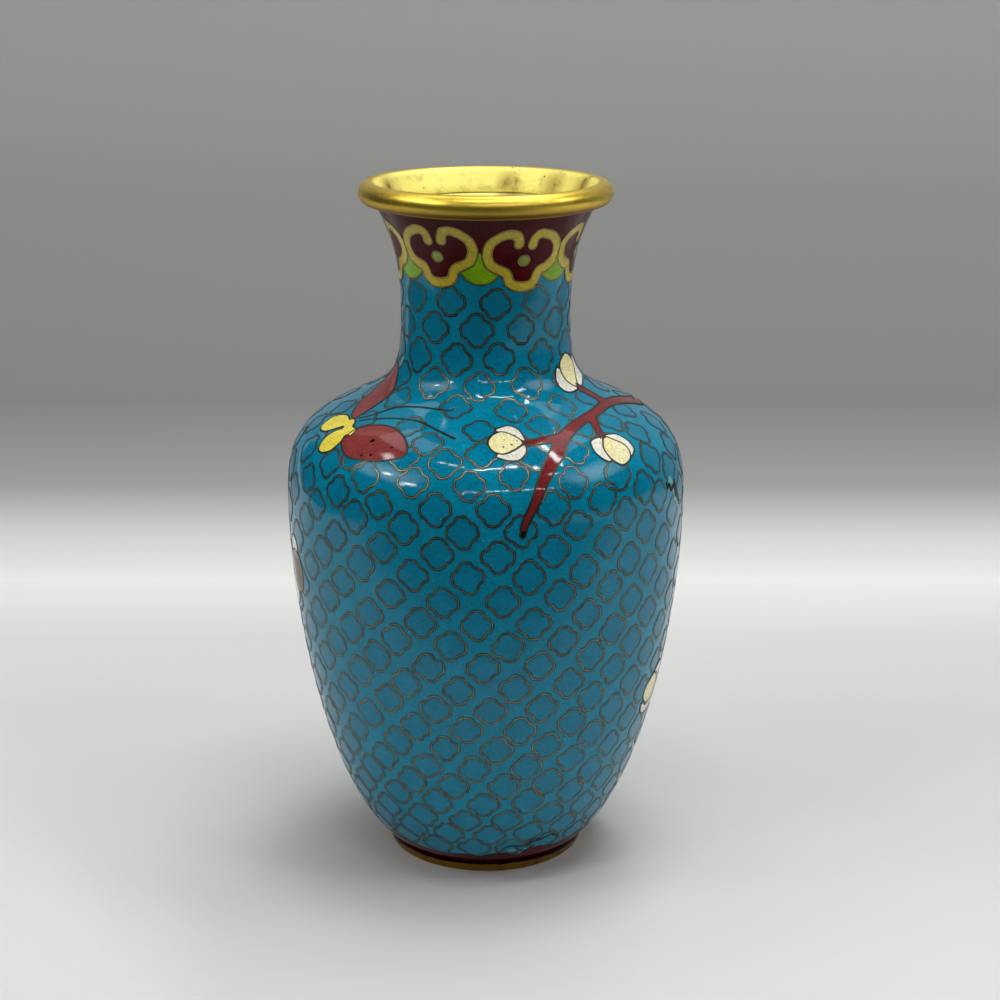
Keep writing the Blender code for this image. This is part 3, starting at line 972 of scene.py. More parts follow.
@dataclass
class CellDiaper:
    """The four-lobed wire cells that fill the ground, set out in rows and bent by hand."""

    width: float = 4.38 * MM
    lobes: float = 0.112
    roundness: float = 0.038
    wire_width: float = 0.46 * MM
    wire_depth: float = 0.12 * MM
    wire_lift: float = -0.03 * MM
    fill_lift: float = -0.05 * MM
    bending: float = 0.50 * MM
    seed: int = 7
    belly_pitch: float = 16.0
    belly_step: float = 3.33
    belly_shift: float = 7.1
    belly_top: tuple[float, float] = (57.75, -6.1)
    foot_gap: float = 3.5
    side_reach: int = 4
    seen: float = 64.0
    smallest: float = 0.75
    shoulder: tuple[CellRow, ...] = (
        CellRow(((-61.5, 61.2), (-45.7, 60.8), (-30.5, 60.6), (-13.7, 60.8), (2.5, 60.8), (18.5, 60.8),
                 (34.0, 61.0), (50.2, 61.2), (66.5, 61.9)), 16.0),
        CellRow(((-68.5, 65.0), (-52.0, 64.5), (-36.8, 64.2), (-20.7, 64.2), (-4.5, 64.2), (8.6, 65.3),
                 (25.5, 64.2), (41.0, 64.3), (58.5, 65.0)), 16.2),
        CellRow(((-62.0, 69.4), (-44.0, 66.6), (-26.0, 67.8), (-12.5, 67.4), (-0.5, 68.9), (15.5, 68.0),
                 (29.5, 68.4), (45.0, 68.2), (62.0, 68.9)), 17.5),
        CellRow(((-31.0, 73.7), (-20.5, 70.7), (-3.0, 73.7), (10.0, 71.5), (24.0, 74.2), (39.0, 72.5),
                 (55.0, 72.2), (72.0, 73.0)), 24.0),
        CellRow(((-51.0, 78.4), (-14.8, 78.4), (11.5, 77.8), (39.5, 77.6), (62.0, 77.8)), 29.0),
    )
    neck: tuple[tuple[float, float], ...] = ((81.8, -4.0), (85.6, 9.8), (89.6, -6.3), (93.5, 6.7))
    neck_pitch: float = 29.6

    def even_row(self, arc: float, phase: float, pitch: float, reach: int) -> CellRow:
        """Sets out a row evenly in front; on the belly it rises towards the sides.

        Args:
            arc: The row's arc.
            phase: Angle of its middle cell.
            pitch: Angle between cells.
            reach: How many cells stand on each side.

        Returns:
            The row.
        """
        front = []
        for k in range(-reach, reach + 1):
            angle = phase + k * pitch
            side = math.sin(math.radians(angle))
            rise = (1.3 * side ** 2 + 0.35 * side * abs(side)) * (arc < 60)
            front.append((angle, arc + rise))
        return CellRow(tuple(front), pitch)

    def rows(self) -> list[CellRow]:
        """Sets out the rows.

        Returns:
            Every row, from the foot up.
        """
        found = []
        (arc, phase), pitch = self.belly_top, self.belly_pitch
        while arc > self.foot_gap:
            found.append(self.even_row(arc, phase, pitch, self.side_reach))
            arc -= self.belly_step
            phase -= self.belly_shift
            if phase < -self.belly_pitch / 2:
                phase += pitch
            pitch = self.belly_pitch + max(0.0, 45.0 - arc) * 0.026
        found.reverse()
        found += self.shoulder
        return found + [self.even_row(arc, phase, self.neck_pitch, 2) for arc, phase in self.neck]

    def points(self) -> bpy.types.Object:
        """Makes the points that the cells stand on.

        Returns:
            A point for each cell, with its place, turn and size as attributes.
        """
        rng = random.Random(self.seed)
        names = ("angle", "arc", "turn", "size", "squash", "number")
        table: dict[str, list[float]] = {name: [] for name in names}
        for row in self.rows():
            for degrees, arc in row.places():
                radius = SURFACE.radius(arc * MM)
                table["angle"].append(math.radians(degrees) + rng.gauss(0, 0.12) * MM / radius)
                table["arc"].append((arc + rng.gauss(0, 0.12)) * MM)
                table["turn"].append(rng.gauss(0, math.radians(5.0)))
                table["size"].append(rng.gauss(1.0, 0.03))
                table["squash"].append(rng.gauss(1.0, 0.035))
                table["number"].append(rng.uniform(0, 900))
        self.fit_behind(table)
        places = [(0.0, 0.0, 0.0)] * len(table["angle"])
        return source_mesh("cell_points", places, attributes=table)

    def fit_behind(self, table: dict[str, list[float]]) -> None:
        """Makes the cells behind smaller where two would cross, as they do near the foot.

        Args:
            table: The attributes of all cells; their sizes are changed.
        """
        spots = [(angle, arc, SURFACE.radius(arc)) for angle, arc in zip(table["angle"], table["arc"])]
        for k, (angle, arc, radius) in enumerate(spots):
            if math.cos(angle) > math.cos(math.radians(self.seen)):
                continue
            nearest = min(math.hypot(2 * radius * math.sin((angle - other[0]) / 2), arc - other[1])
                          for j, other in enumerate(spots) if j != k)
            table["size"][k] *= max(self.smallest, min(1.0, nearest / (self.width + 0.5 * self.wire_width)))

    def tree(self, name: str, finish: Enum, lift: float, sizes: dict) -> GeometryTree:
        """Starts a tree with the inputs that the cells' wires and their glass share.

        Args:
            name: Name of the tree.
            finish: The finish of what it makes.
            lift: Height over the outline.
            sizes: Value of each further input.

        Returns:
            The tree.
        """
        return GeometryTree(name, {
            "Outline": GUIDE, "Lift": lift, "Cell width": self.width, "Lobes": self.lobes,
            "Roundness": self.roundness, "Bending": self.bending, "Seed": float(self.seed),
            "Material": PALETTE.get(finish)} | sizes)

    def wires(self) -> bpy.types.Object:
        """Makes the wire of every cell.

        Returns:
            The new piece.
        """
        tree = self.tree("cell_wires", Metal.WIRE, self.wire_lift, {
            "Wire width": self.wire_width, "Wire depth": self.wire_depth, "Bends": 32})
        ring = tree.add("GeometryNodeMeshCircle", {"Vertices": tree.start["Bends"], "Radius": 1.0})
        many = set_out_cells(tree, cell_shape(tree, ring))
        line = tree.add("GeometryNodeMeshToCurve", {0: many})
        tree.end(wrap(tree, ribbon(tree, line)))
        return tree.make(self.points(), "cell_wires")

    def fills(self) -> bpy.types.Object:
        """Makes the glass inside every cell, which is a little deeper than the ground between them.

        Returns:
            The new piece.
        """
        tree = self.tree("cell_glass", Glass.CELL, self.fill_lift - self.wire_depth / 2, {
            "Depth": self.wire_depth, "Sides": 24})
        disc = tree.add("GeometryNodeMeshCylinder",
                        {"Vertices": tree.start["Sides"], "Fill Segments": 2, "Radius": 1.0,
                         "Depth": tree.start["Depth"]}, fill_type="TRIANGLE_FAN").outputs["Mesh"]
        tree.end(wrap(tree, set_out_cells(tree, cell_shape(tree, disc))))
        return tree.make(self.points(), "cell_glass")

    def build(self) -> None:
        """Makes and hands over the cells."""
        hand_over(self.fills(), "enamel")
        hand_over(self.wires(), "enamel")


def smooth(points: list[Point], closed: bool, step: float = 0.22) -> list[Point]:
    """Draws a smooth line through a few points.

    Args:
        points: The points, in millimetres.
        closed: Whether the line returns to its start.
        step: Distance between the new points, in millimetres.

    Returns:
        The points of the smooth line, the last one left out where it is closed.
    """
    here = [np.array(p, float) for p in points]
    if not closed:
        here = [2 * here[0] - here[1]] + here + [2 * here[-1] - here[-2]]
    count = len(here)
    spans = range(count) if closed else range(1, count - 2)
    line = []
    for k in spans:
        a, b, c, d = (here[(k + j) % count] if closed else here[k + j] for j in (-1, 0, 1, 2))
        parts = max(1, round(float(np.linalg.norm(c - b)) / step))
        for t in np.arange(parts) / parts:
            line.append(tuple(0.5 * (2 * b + (c - a) * t + (2 * a - 5 * b + 4 * c - d) * t * t
                                     + (3 * b - a - 3 * c + d) * t ** 3)))
    if not closed:
        line.append(tuple(here[-2]))
    return [(float(x), float(y)) for x, y in line]


def stroke(points: list[Point], halves: list[float], round_start: bool = True,
           round_end: bool = True) -> list[Point]:
    """Returns the outline of a band that follows a line.

    Args:
        points: The line's points, in millimetres.
        halves: Half of the band's width at each point.
        round_start: Whether the band starts with a round end.
        round_end: Whether the band ends with a round end.

    Returns:
        The closed outline, in millimetres.
    """
    line = np.array(smooth(points, closed=False))
    known = np.concatenate([[0.0], np.cumsum(np.hypot(*np.diff(np.array(points, float), axis=0).T))])
    run = np.concatenate([[0.0], np.cumsum(np.hypot(*np.diff(line, axis=0).T))])
    half = np.interp(run / run[-1], known / known[-1], halves)[:, None]
    way = np.gradient(line, axis=0)
    way /= np.linalg.norm(way, axis=1)[:, None]
    left = np.stack([-way[:, 1], way[:, 0]], 1)
    sides = [line + left * half, (line - left * half)[::-1]]
    caps = []
    for wanted, k, sign in ((round_end, -1, 1.0), (round_start, 0, -1.0)):
        turns = np.radians(np.linspace(90, -90, 9)[1:-1]) if wanted else []
        caps.append([line[k] + half[k] * sign * (way[k] * math.cos(a) + left[k] * math.sin(a))
                     for a in turns])
    outline = list(sides[0]) + caps[0] + list(sides[1]) + caps[1]
    return [(float(x), float(y)) for x, y in outline]


def inside(point: Point, loop: list[Point]) -> bool:
    """Tests whether a point lies in a closed outline.

    Args:
        point: The point.
        loop: The outline.

    Returns:
        True inside.
    """
    x, y = point
    found = False
    for (ax, ay), (bx, by) in zip(loop, loop[1:] + loop[:1]):
        if (ay > y) != (by > y) and x < (bx - ax) * (y - ay) / (by - ay) + ax:
            found = not found
    return found


def turned_left(loop: list[Point]) -> list[Point]:
    """Returns a closed outline so that it runs anticlockwise."""
    area = sum(ax * by - bx * ay for (ax, ay), (bx, by) in zip(loop, loop[1:] + loop[:1]))
    return loop if area > 0 else loop[::-1]


def moved(shape: tuple[Point, ...], at: Point, turn: float, size: float = 1.0) -> list[Point]:
    """Returns a shape turned by some degrees, scaled and moved."""
    cosine, sine = size * math.cos(math.radians(turn)), size * math.sin(math.radians(turn))
    return [(at[0] + x * cosine - y * sine, at[1] + x * sine + y * cosine) for x, y in shape]


@dataclass
class Chart:
    """A flat drawing that is laid on the vase round one point; its units are millimetres."""

    angle: float
    arc: float

    def local(self, degrees: float, arc: float) -> Point:
        """Returns the flat place of a point given by its angle in degrees and its arc in millimetres."""
        turn = math.radians(degrees - self.angle)
        return turn * SURFACE.radius(arc * MM) / MM, arc - self.arc

    def seen(self, other: "Chart", loop: list[Point]) -> list[Point]:
        """Returns an outline of another chart as it lies in this one."""
        return [self.local(other.angle + math.degrees(x * MM / SURFACE.radius((other.arc + y) * MM)),
                           other.arc + y) for x, y in loop]


class Inlay:
    """Flat drawings of one colour or of wires, gathered from several charts into one piece."""

    def __init__(self, name: str) -> None:
        """Starts an empty piece.

        Args:
            name: Name of the piece.
        """
        self.name = name
        self.places: list[tuple[float, float, float]] = []
        self.edges: list[tuple[int, int]] = []
        self.faces: list[tuple[int, ...]] = []
        self.angle: list[float] = []
        self.arc: list[float] = []

    def _start(self, chart: Chart, points: list[Point]) -> int:
        """Adds points to the source mesh.

        Args:
            chart: The chart that they lie on.
            points: Their places.

        Returns:
            The first one's number.
        """
        first = len(self.places)
        self.places += [(x * MM, y * MM, 0.0) for x, y in points]
        self.angle += [math.radians(chart.angle)] * len(points)
        self.arc += [chart.arc * MM] * len(points)
        return first

    def fill(self, chart: Chart, loops: list[list[Point]], spacing: float = 0.6) -> None:
        """Fills closed outlines, which may overlap, with small triangles.

        Args:
            chart: The drawing's place.
            loops: The outlines.
            spacing: Distance between the triangles' inner points, in millimetres.
        """
        loops = [turned_left(loop) for loop in loops]
        points = [Vector(p) for loop in loops for p in loop]
        faces, first = [], 0
        for loop in loops:
            faces.append(list(range(first, first + len(loop))))
            first += len(loop)
        every = np.array([tuple(p) for p in points])
        low, high = every.min(0), every.max(0)
        for row, y in enumerate(np.arange(low[1], high[1], spacing * 0.87)):
            for x in np.arange(low[0] + spacing / 2 * (row % 2), high[0], spacing):
                clear = np.hypot(every[:, 0] - x, every[:, 1] - y).min() > 0.4 * spacing
                if clear and any(inside((x, y), loop) for loop in loops):
                    points.append(Vector((x, y)))
        verts, _, found, _, _, owners = delaunay_2d_cdt(points, [], faces, 0, 1e-5, True)
        kept = [face for face, owner in zip(found, owners) if owner]
        start = self._start(chart, [tuple(v) for v in verts])
        self.faces += [tuple(start + k for k in face) for face in kept]

    def wire(self, chart: Chart, line: list[Point], closed: bool = True,
             hidden: list[list[Point]] = ()) -> None:
        """Adds a wire along a line, left out where it would run inside other outlines.

        Args:
            chart: The drawing's place.
            line: The wire's points.
            closed: Whether it returns to its start.
            hidden: Outlines inside which it isn't laid.
        """
        shown = [not any(inside(p, loop) for loop in hidden) for p in line]
        start = self._start(chart, line)
        count = len(line)
        for k in range(count if closed else count - 1):
            if shown[k] and shown[(k + 1) % count]:
                self.edges.append((start + k, start + (k + 1) % count))

    def source(self) -> bpy.types.Object:
        """Makes the flat mesh that the trees start from.

        Returns:
            The mesh as an object.
        """
        used = sorted({k for part in self.edges + self.faces for k in part})
        new = {old: k for k, old in enumerate(used)}
        return source_mesh(self.name + "_flat", [self.places[k] for k in used],
                           [tuple(new[k] for k in edge) for edge in self.edges],
                           [tuple(new[k] for k in face) for face in self.faces],
                           {"angle": [self.angle[k] for k in used], "arc": [self.arc[k] for k in used]})

    def glass(self, finish: Enum, lift: float, depth: float = 0.10 * MM) -> bpy.types.Object:
        """Makes the filled drawing a thin closed sheet of glass on the vase.

        Args:
            finish: Its finish.
            lift: Height of its top over the outline.
            depth: Its thickness.

        Returns:
            The new piece.
        """
        tree = GeometryTree("inlaid_glass", {"Outline": GUIDE, "Lift": lift - depth, "Depth": depth,
                                             "Material": PALETTE.get(finish)})
        flat = tree.start["Geometry"]
        up = tree.add("ShaderNodeCombineXYZ", {2: tree.start["Depth"]})
        raised = tree.add("GeometryNodeExtrudeMesh", {"Mesh": flat, "Offset": up, "Individual": False})
        under = tree.add("GeometryNodeFlipFaces", {0: flat})
        both = tree.add("GeometryNodeJoinGeometry", {0: raised})
        tree.tree.links.new(output(under), both.inputs[0])
        # Drawings that repeat lie on each other until they are laid on the vase, so merging comes last.
        laid = wrap(tree, both)
        tree.end(tree.add("GeometryNodeMergeByDistance", {"Geometry": laid, "Distance": MERGED}))
        return tree.make(self.source(), self.name)

    def wires(self, finish: Enum, width: float, lift: float, depth: float = 0.12 * MM) -> bpy.types.Object:
        """Makes the drawing's lines flat wire on the vase.

        Args:
            finish: The wire's finish.
            width: The wire's width.
            lift: Height of its top over the outline.
            depth: Its depth in the glass.

        Returns:
            The new piece.
        """
        tree = GeometryTree("inlaid_wires", {"Outline": GUIDE, "Lift": lift, "Wire width": width,
                                             "Wire depth": depth, "Material": PALETTE.get(finish)})
        line = tree.add("GeometryNodeMeshToCurve", {0: tree.start["Geometry"]})
        tree.end(wrap(tree, ribbon(tree, line)))
        return tree.make(self.source(), self.name)


class Level:
    """Heights of the layers' tops over the outline, in metres; all lie under it."""

    GLASS = -0.020 * MM
    SECOND_GLASS = -0.014 * MM
    THIRD_GLASS = -0.008 * MM
    WIRE = -0.001 * MM


BUTTERFLY_CHART = Chart(-58.0, 70.0)
BRANCH_CHART = Chart(30.0, 68.0)
BACK_CHART = Chart(180.0, 60.0)


@dataclass
class Butterfly:
    """The butterfly on the left of the shoulder, with two red wings, two yellow ones and long feelers."""

    chart: Chart
    lower_wing: tuple[Point, ...] = (
        (2.1, 0.7), (3.0, 1.55), (4.2, 2.35), (5.9, 2.8), (8.15, 2.5), (10.55, 1.4), (12.5, -0.05),
        (13.7, -1.4), (13.8, -2.3), (12.4, -3.0), (10.55, -3.55), (8.05, -3.85), (6.35, -3.95), (4.9, -3.75),
        (3.2, -2.95), (1.95, -1.8), (1.9, -0.8))
    upper_wing: tuple[Point, ...] = (
        (-2.0, 2.5), (-3.4, 3.5), (-5.1, 5.0), (-5.9, 6.8), (-6.4, 8.8), (-6.2, 10.6), (-5.9, 12.2),
        (-5.2, 13.2), (-3.7, 12.8), (-2.5, 11.7), (-1.4, 10.6), (-0.7, 9.1), (-0.5, 7.4), (-0.6, 5.3),
        (-0.6, 3.7), (-0.6, 2.3))
    yellow_wings: tuple[Point, ...] = (
        (-0.8, 0.3), (-1.8, -0.45), (-2.9, -1.3), (-4.1, -1.85), (-5.35, -1.9), (-6.1, -1.4), (-6.25, -0.5),
        (-6.0, 0.55), (-5.05, 1.5), (-3.8, 2.1), (-2.6, 2.25), (-1.3, 1.8), (-0.9, 2.2), (-0.1, 2.1),
        (0.5, 1.6), (1.0, 1.0), (2.2, 0.75), (2.6, 0.1), (2.5, -0.7), (1.8, -0.75), (1.6, -1.1), (1.9, -1.8),
        (1.8, -2.8), (1.3, -3.85), (0.1, -4.5), (-1.1, -4.6), (-1.85, -4.05), (-2.15, -2.9), (-2.0, -1.85),
        (-1.4, -0.85), (-0.5, 0.05))
    feelers: tuple[tuple[Point, ...], ...] = (
        ((-0.1, 2.6), (1.2, 3.8), (2.1, 5.2), (3.1, 6.5), (4.5, 7.3), (7.1, 7.8), (9.8, 7.8), (11.6, 7.7),
         (11.8, 8.1)),
        ((0.7, 2.3), (2.1, 3.2), (4.5, 4.3), (7.0, 4.9), (10.2, 4.7), (14.1, 3.3), (17.9, 1.8)))

    def build(self, wires: Inlay) -> None:
        """Makes and hands over the butterfly.

        Args:
            wires: The piece that gathers the wires of all drawings.
        """
        red, yellow = Inlay("butterfly_red_wings"), Inlay("butterfly_yellow_wings")
        for piece, shape in ((red, self.lower_wing), (red, self.upper_wing), (yellow, self.yellow_wings)):
            loop = smooth(list(shape), closed=True)
            piece.fill(self.chart, [loop])
            wires.wire(self.chart, loop)
        for feeler in self.feelers:
            wires.wire(self.chart, smooth(list(feeler), closed=False), closed=False)
        hand_over(red.glass(Glass.ROSE, Level.GLASS), "enamel")
        hand_over(yellow.glass(Glass.LEMON, Level.SECOND_GLASS), "enamel")


@dataclass(frozen=True)
class Bud:
    """A closed bud: a cream petal in the middle between two white ones."""

    chart: Chart
    middle: tuple[Point, ...]
    sides: tuple[tuple[Point, ...], ...]

    def placed(self, chart: Chart, at: Point, turn: float, size: float) -> "Bud":
        """Returns the same bud on another chart, turned and scaled."""
        sides = tuple(tuple(moved(side, at, turn, size)) for side in self.sides)
        return Bud(chart, tuple(moved(self.middle, at, turn, size)), sides)


UPPER_LEFT_BUD = Bud(
    BRANCH_CHART,
    ((-11.4, 3.2), (-10.1, 4.7), (-8.6, 5.4), (-7.5, 4.8), (-6.7, 3.0), (-8.6, 1.6), (-10.4, 1.0),
     (-11.5, 1.7)),
    (((-9.2, 5.7), (-7.9, 6.5), (-6.8, 6.7), (-6.0, 5.8), (-6.0, 4.2), (-6.3, 3.2), (-7.6, 4.4)),
     ((-11.4, 0.8), (-10.7, 0.1), (-9.8, -0.2), (-8.5, -0.1), (-7.2, 0.9), (-6.7, 1.9), (-6.8, 2.5),
      (-9.0, 1.8))))
TOP_BUD = Bud(
    Chart(62.0, 82.0),
    ((0.9, 3.1), (-0.9, 2.5), (-1.6, 1.4), (-1.4, -0.3), (-0.8, -1.3), (0.3, -2.0), (1.8, -0.6),
     (3.1, 1.3)),
    (((-2.2, 1.6), (-2.9, 0.9), (-3.4, -0.1), (-3.5, -1.3), (-2.8, -2.3), (-1.2, -2.5), (0.3, -2.0),
      (-1.1, 0.4)),
     ((3.4, 2.4), (5.1, -0.8), (3.5, -1.6), (1.3, -2.3), (0.8, -1.9), (2.0, 0.0))))
SHOULDER_BUD = Bud(
    Chart(44.0, 68.0),
    ((0.2, 2.0), (-1.1, 0.8), (-1.6, -0.2), (-1.5, -1.5), (-0.8, -2.5), (0.3, -3.0), (2.0, -2.4),
     (2.7, -1.2), (2.4, 0.0), (1.3, 1.1)),
    (((-0.1, 1.8), (-1.2, 2.1), (-2.5, 1.8), (-3.1, 1.0), (-3.3, -0.3), (-2.8, -1.4), (-1.8, -2.1),
      (-1.0, -1.0)),
     ((0.3, 2.0), (2.0, 2.1), (3.0, 1.5), (3.8, 0.2), (3.9, -1.1), (3.5, -1.6), (2.4, -2.1),
      (2.2, -0.6))))
RIGHT_EDGE_BUD = Bud(
    Chart(68.0, 28.0),
    ((0.1, 2.4), (-1.7, 1.7), (-2.7, 0.7), (-2.6, -0.6), (-1.8, -1.5), (-0.5, -2.2), (1.3, -1.9),
     (2.7, -0.8), (2.6, 0.9), (1.5, 1.9)),
    (((0.5, 2.6), (1.5, 3.4), (3.1, 3.6), (4.0, 2.2), (3.7, 0.6), (2.9, 0.7), (1.9, 1.9)),
     ((-2.3, -1.6), (-2.5, -2.6), (-1.3, -3.7), (0.8, -3.8), (2.8, -2.8), (3.4, -1.2), (2.8, -0.9),
      (1.2, -2.1), (-0.6, -2.5))))


@dataclass(frozen=True)
class Blossom:
    """An open blossom seen from above: five white petals round a brown middle with wire stamens."""

    at: Point
    radius: float
    turn: float
    notch: float = 0.60
    heart: float = 0.32

    def middle(self) -> list[Point]:
        """Returns the outline of the brown middle."""
        return ellipse(self.at, self.radius * self.heart, self.radius * self.heart, 24)

    def petals(self) -> list[Point]:
        """Outlines the five petals.

        Returns:
            The closed outline.
        """
        outline = []
        for a in np.linspace(0, 2 * math.pi, 101)[:-1]:
            lobe = abs(math.cos(2.5 * (a - math.radians(self.turn)))) ** 0.6
            reach = self.radius * (self.notch + (1 - self.notch) * lobe)
            outline.append((self.at[0] + reach * math.cos(a), self.at[1] + reach * math.sin(a)))
        return outline

    def spokes(self) -> list[list[Point]]:
        """Draws the lines between the petals and the stamens.

        Returns:
            The lines.
        """
        lines = []
        for k in range(10):
            a = math.radians(self.turn + 36 * k)
            reach = self.notch if k % 2 else 0.56
            lines.append([(self.at[0] + self.radius * share * math.cos(a),
                           self.at[1] + self.radius * share * math.sin(a))
                          for share in np.linspace(self.heart, reach - 0.02, 4)])
        return lines


@dataclass
class Bough:
    """The branch with its buds, from the tip on the front over the right shoulder and round the back."""

    chart: Chart
    back: Chart
    trunk: tuple[Point, ...] = (
        (-10.2, -10.7), (-9.9, -9.4), (-9.3, -8.2), (-8.5, -6.9), (-7.7, -5.5), (-6.6, -3.7), (-4.6, -1.2),
        (-2.8, 0.7), (-0.9, 3.0), (2.1, 5.0), (5.0, 6.2), (8.3, 6.9), (11.8, 7.4), (16.2, 6.7), (21.2, 5.0),
        (26.1, 3.0))
    trunk_halves: tuple[float, ...] = (
        0.35, 0.45, 0.5, 0.55, 0.6, 0.7, 0.85, 1.0, 0.95, 0.8, 0.75, 0.75, 0.75, 0.75, 0.75, 0.8)
    twigs: tuple[tuple[Point, ...], ...] = (
        ((-1.1, 3.2), (-3.0, 3.2), (-4.9, 3.0), (-6.6, 2.8)),
        ((12.4, 7.6), (10.8, 9.9), (8.8, 11.7), (8.2, 12.05)),
        ((6.4, 6.4), (5.9, 4.6), (5.6, 2.9), (5.5, 1.8)))
    back_trunk: tuple[Point, ...] = (
        (-32.9, 11.3), (-27.0, 9.2), (-20.0, 6.5), (-12.0, 4.6), (-4.0, 1.6), (5.0, 0.6), (14.0, -2.6),
        (22.0, -4.6), (30.0, -8.8), (37.0, -11.6), (43.0, -12.4), (48.6, -13.8))
    back_bough: tuple[Point, ...] = (
        (-19.0, 6.2), (-22.5, -1.0), (-26.0, -8.0), (-30.0, -17.0), (-34.0, -25.0), (-38.5, -30.5),
        (-43.4, -32.0), (-47.4, -31.8))
    back_twigs: tuple[tuple[Point, ...], ...] = (
        ((-13.8, 5.2), (-13.4, 7.0), (-13.0, 9.0)), ((5.6, 0.6), (6.6, -1.6), (7.0, -3.6)),
        ((23.8, -5.4), (26.0, -3.2), (26.8, -1.2)), ((-29.2, -15.4), (-26.6, -17.0), (-24.0, -18.0)),
        ((39.0, -12.0), (38.6, -15.0), (38.0, -18.0)), ((-4.4, 1.8), (-1.6, 4.4), (-0.4, 6.4)),
        ((-26.6, -9.4), (-30.0, -8.6), (-33.2, -7.6)), ((13.0, -2.4), (14.2, -6.0), (14.4, -9.4)))
    blossoms: tuple[Blossom, ...] = (
        Blossom((-12.8, 11.6), 4.4, 20.0), Blossom((7.4, -7.0), 4.7, -10.0), Blossom((28.0, 1.2), 4.6, 40.0),
        Blossom((-21.6, -20.0), 4.5, 5.0), Blossom((37.6, -21.0), 4.6, 60.0))
    back_buds: tuple[tuple[Point, float], ...] = (
        ((0.0, 8.4), 200.0), ((-35.4, -7.0), -75.0), ((14.6, -11.6), 5.0))
    back_bud_size: float = 0.95
    trunk_half_behind: tuple[float, ...] = (0.8,) * 8 + (0.7,) * 4
    bough_halves: tuple[float, ...] = (0.8, 0.75, 0.7, 0.65, 0.6, 0.5, 0.45, 0.4)

    def buds_behind(self) -> list[Bud]:
        """Returns the buds of the back."""
        return [SHOULDER_BUD.placed(self.back, at, turn, self.back_bud_size) for at, turn in self.back_buds]

    def lay_bud(self, bud: Bud, cream: Inlay, white: Inlay, wires: Inlay) -> None:
        """Draws a bud in its colours and wires.

        Args:
            bud: The bud.
            cream: Inlay of its middle.
            white: Inlay of its side petals.
            wires: Inlay of its wires.
        """
        heart = smooth(list(bud.middle), closed=True)
        cream.fill(bud.chart, [heart])
        wires.wire(bud.chart, heart)
        for side in bud.sides:
            petal = smooth(list(side), closed=True)
            white.fill(bud.chart, [petal])
            wires.wire(bud.chart, petal, hidden=[heart])

    def lay_boughs(self, red: Inlay, wires: Inlay) -> None:
        """Draws the boughs and twigs of both sides.

        Args:
            red: The piece that gathers the wood.
            wires: The piece that gathers the wires.
        """
        trunk = stroke(list(self.trunk), list(self.trunk_halves), round_end=False)
        twigs = [stroke(list(twig), [0.9, 0.65, 0.55, 0.45], False, False) for twig in self.twigs]
        far = stroke(list(self.back_trunk), list(self.trunk_half_behind), False, False)
        bough = stroke(list(self.back_bough), list(self.bough_halves), False, False)
        small = [stroke(list(twig), [0.7, 0.5, 0.4], False, False) for twig in self.back_twigs]
        # Behind, the twigs end under the blossoms and buds, where no wire edges them.
        over = [blossom.petals() for blossom in self.blossoms]
        over += [smooth(list(part), closed=True)
                 for bud in self.buds_behind() for part in (bud.middle, *bud.sides)]
        for chart, loops, covers in ((self.chart, [trunk] + twigs, []),
                                     (self.back, [far, bough] + small, over)):
            red.fill(chart, loops)
            for k, loop in enumerate(loops):
                wires.wire(chart, loop, hidden=loops[:k] + loops[k + 1:] + covers)

    def lay_left_edge_blossom(self, brown: Inlay, white: Inlay, wires: Inlay) -> None:
        """Draws the blossom at the left edge, half turned away.

        Args:
            brown: Inlay of its big middle.
            white: Inlay of its petals.
            wires: Inlay of its wires.
        """
        chart = Chart(-72.0, 46.0)
        heart = ellipse((0.0, 0.0), 2.9, 3.25, 39)
        brown.fill(chart, [heart])
        wires.wire(chart, heart)
        petals = (((-1.8, 2.6), (-2.0, 4.2), (-0.8, 5.3), (0.9, 4.7), (1.2, 2.9), (0.0, 2.2)),
                  ((-2.4, 1.6), (-4.4, 3.4), (-6.3, 2.2), (-6.2, -0.2), (-4.2, -1.2), (-2.4, -0.6)),
                  ((-2.3, -1.0), (-4.6, -2.0), (-5.0, -4.4), (-2.8, -5.8), (-0.9, -4.6), (-0.8, -2.9)))
        for petal in petals:
            loop = smooth(list(petal), closed=True)
            white.fill(chart, [loop])
            wires.wire(chart, loop, hidden=[heart])
        for x in (-1.2, -0.3, 0.6, 1.5):
            stamen = [(x - 0.5, 2.1), (x + 0.1, 0.9), (x + 0.4, -0.6), (x + 0.2, -2.2)]
            wires.wire(chart, smooth(stamen, closed=False), closed=False)

    def build(self, wires: Inlay) -> None:
        """Makes and hands over the branch, its buds and its blossoms.

        Args:
            wires: The piece that gathers the wires of all drawings.
        """
        red, cream, white = Inlay("branch"), Inlay("bud_middle_petals"), Inlay("white_petals")
        brown = Inlay("blossom_hearts")
        self.lay_boughs(red, wires)
        for bud in [UPPER_LEFT_BUD, TOP_BUD, SHOULDER_BUD, RIGHT_EDGE_BUD] + self.buds_behind():
            self.lay_bud(bud, cream, white, wires)
        for blossom in self.blossoms:
            white.fill(self.back, [blossom.petals()])
            brown.fill(self.back, [blossom.middle()])
            wires.wire(self.back, blossom.petals())
            wires.wire(self.back, blossom.middle())
            for spoke in blossom.spokes():
                wires.wire(self.back, spoke, closed=False)
        self.lay_left_edge_blossom(brown, white, wires)
        hand_over(red.glass(Glass.BRICK, Level.GLASS), "enamel")
        hand_over(white.glass(Glass.WHITE, Level.SECOND_GLASS), "enamel")
        hand_over(cream.glass(Glass.CREAM, Level.THIRD_GLASS), "enamel")
        hand_over(brown.glass(Glass.OCHRE, Level.THIRD_GLASS), "enamel")


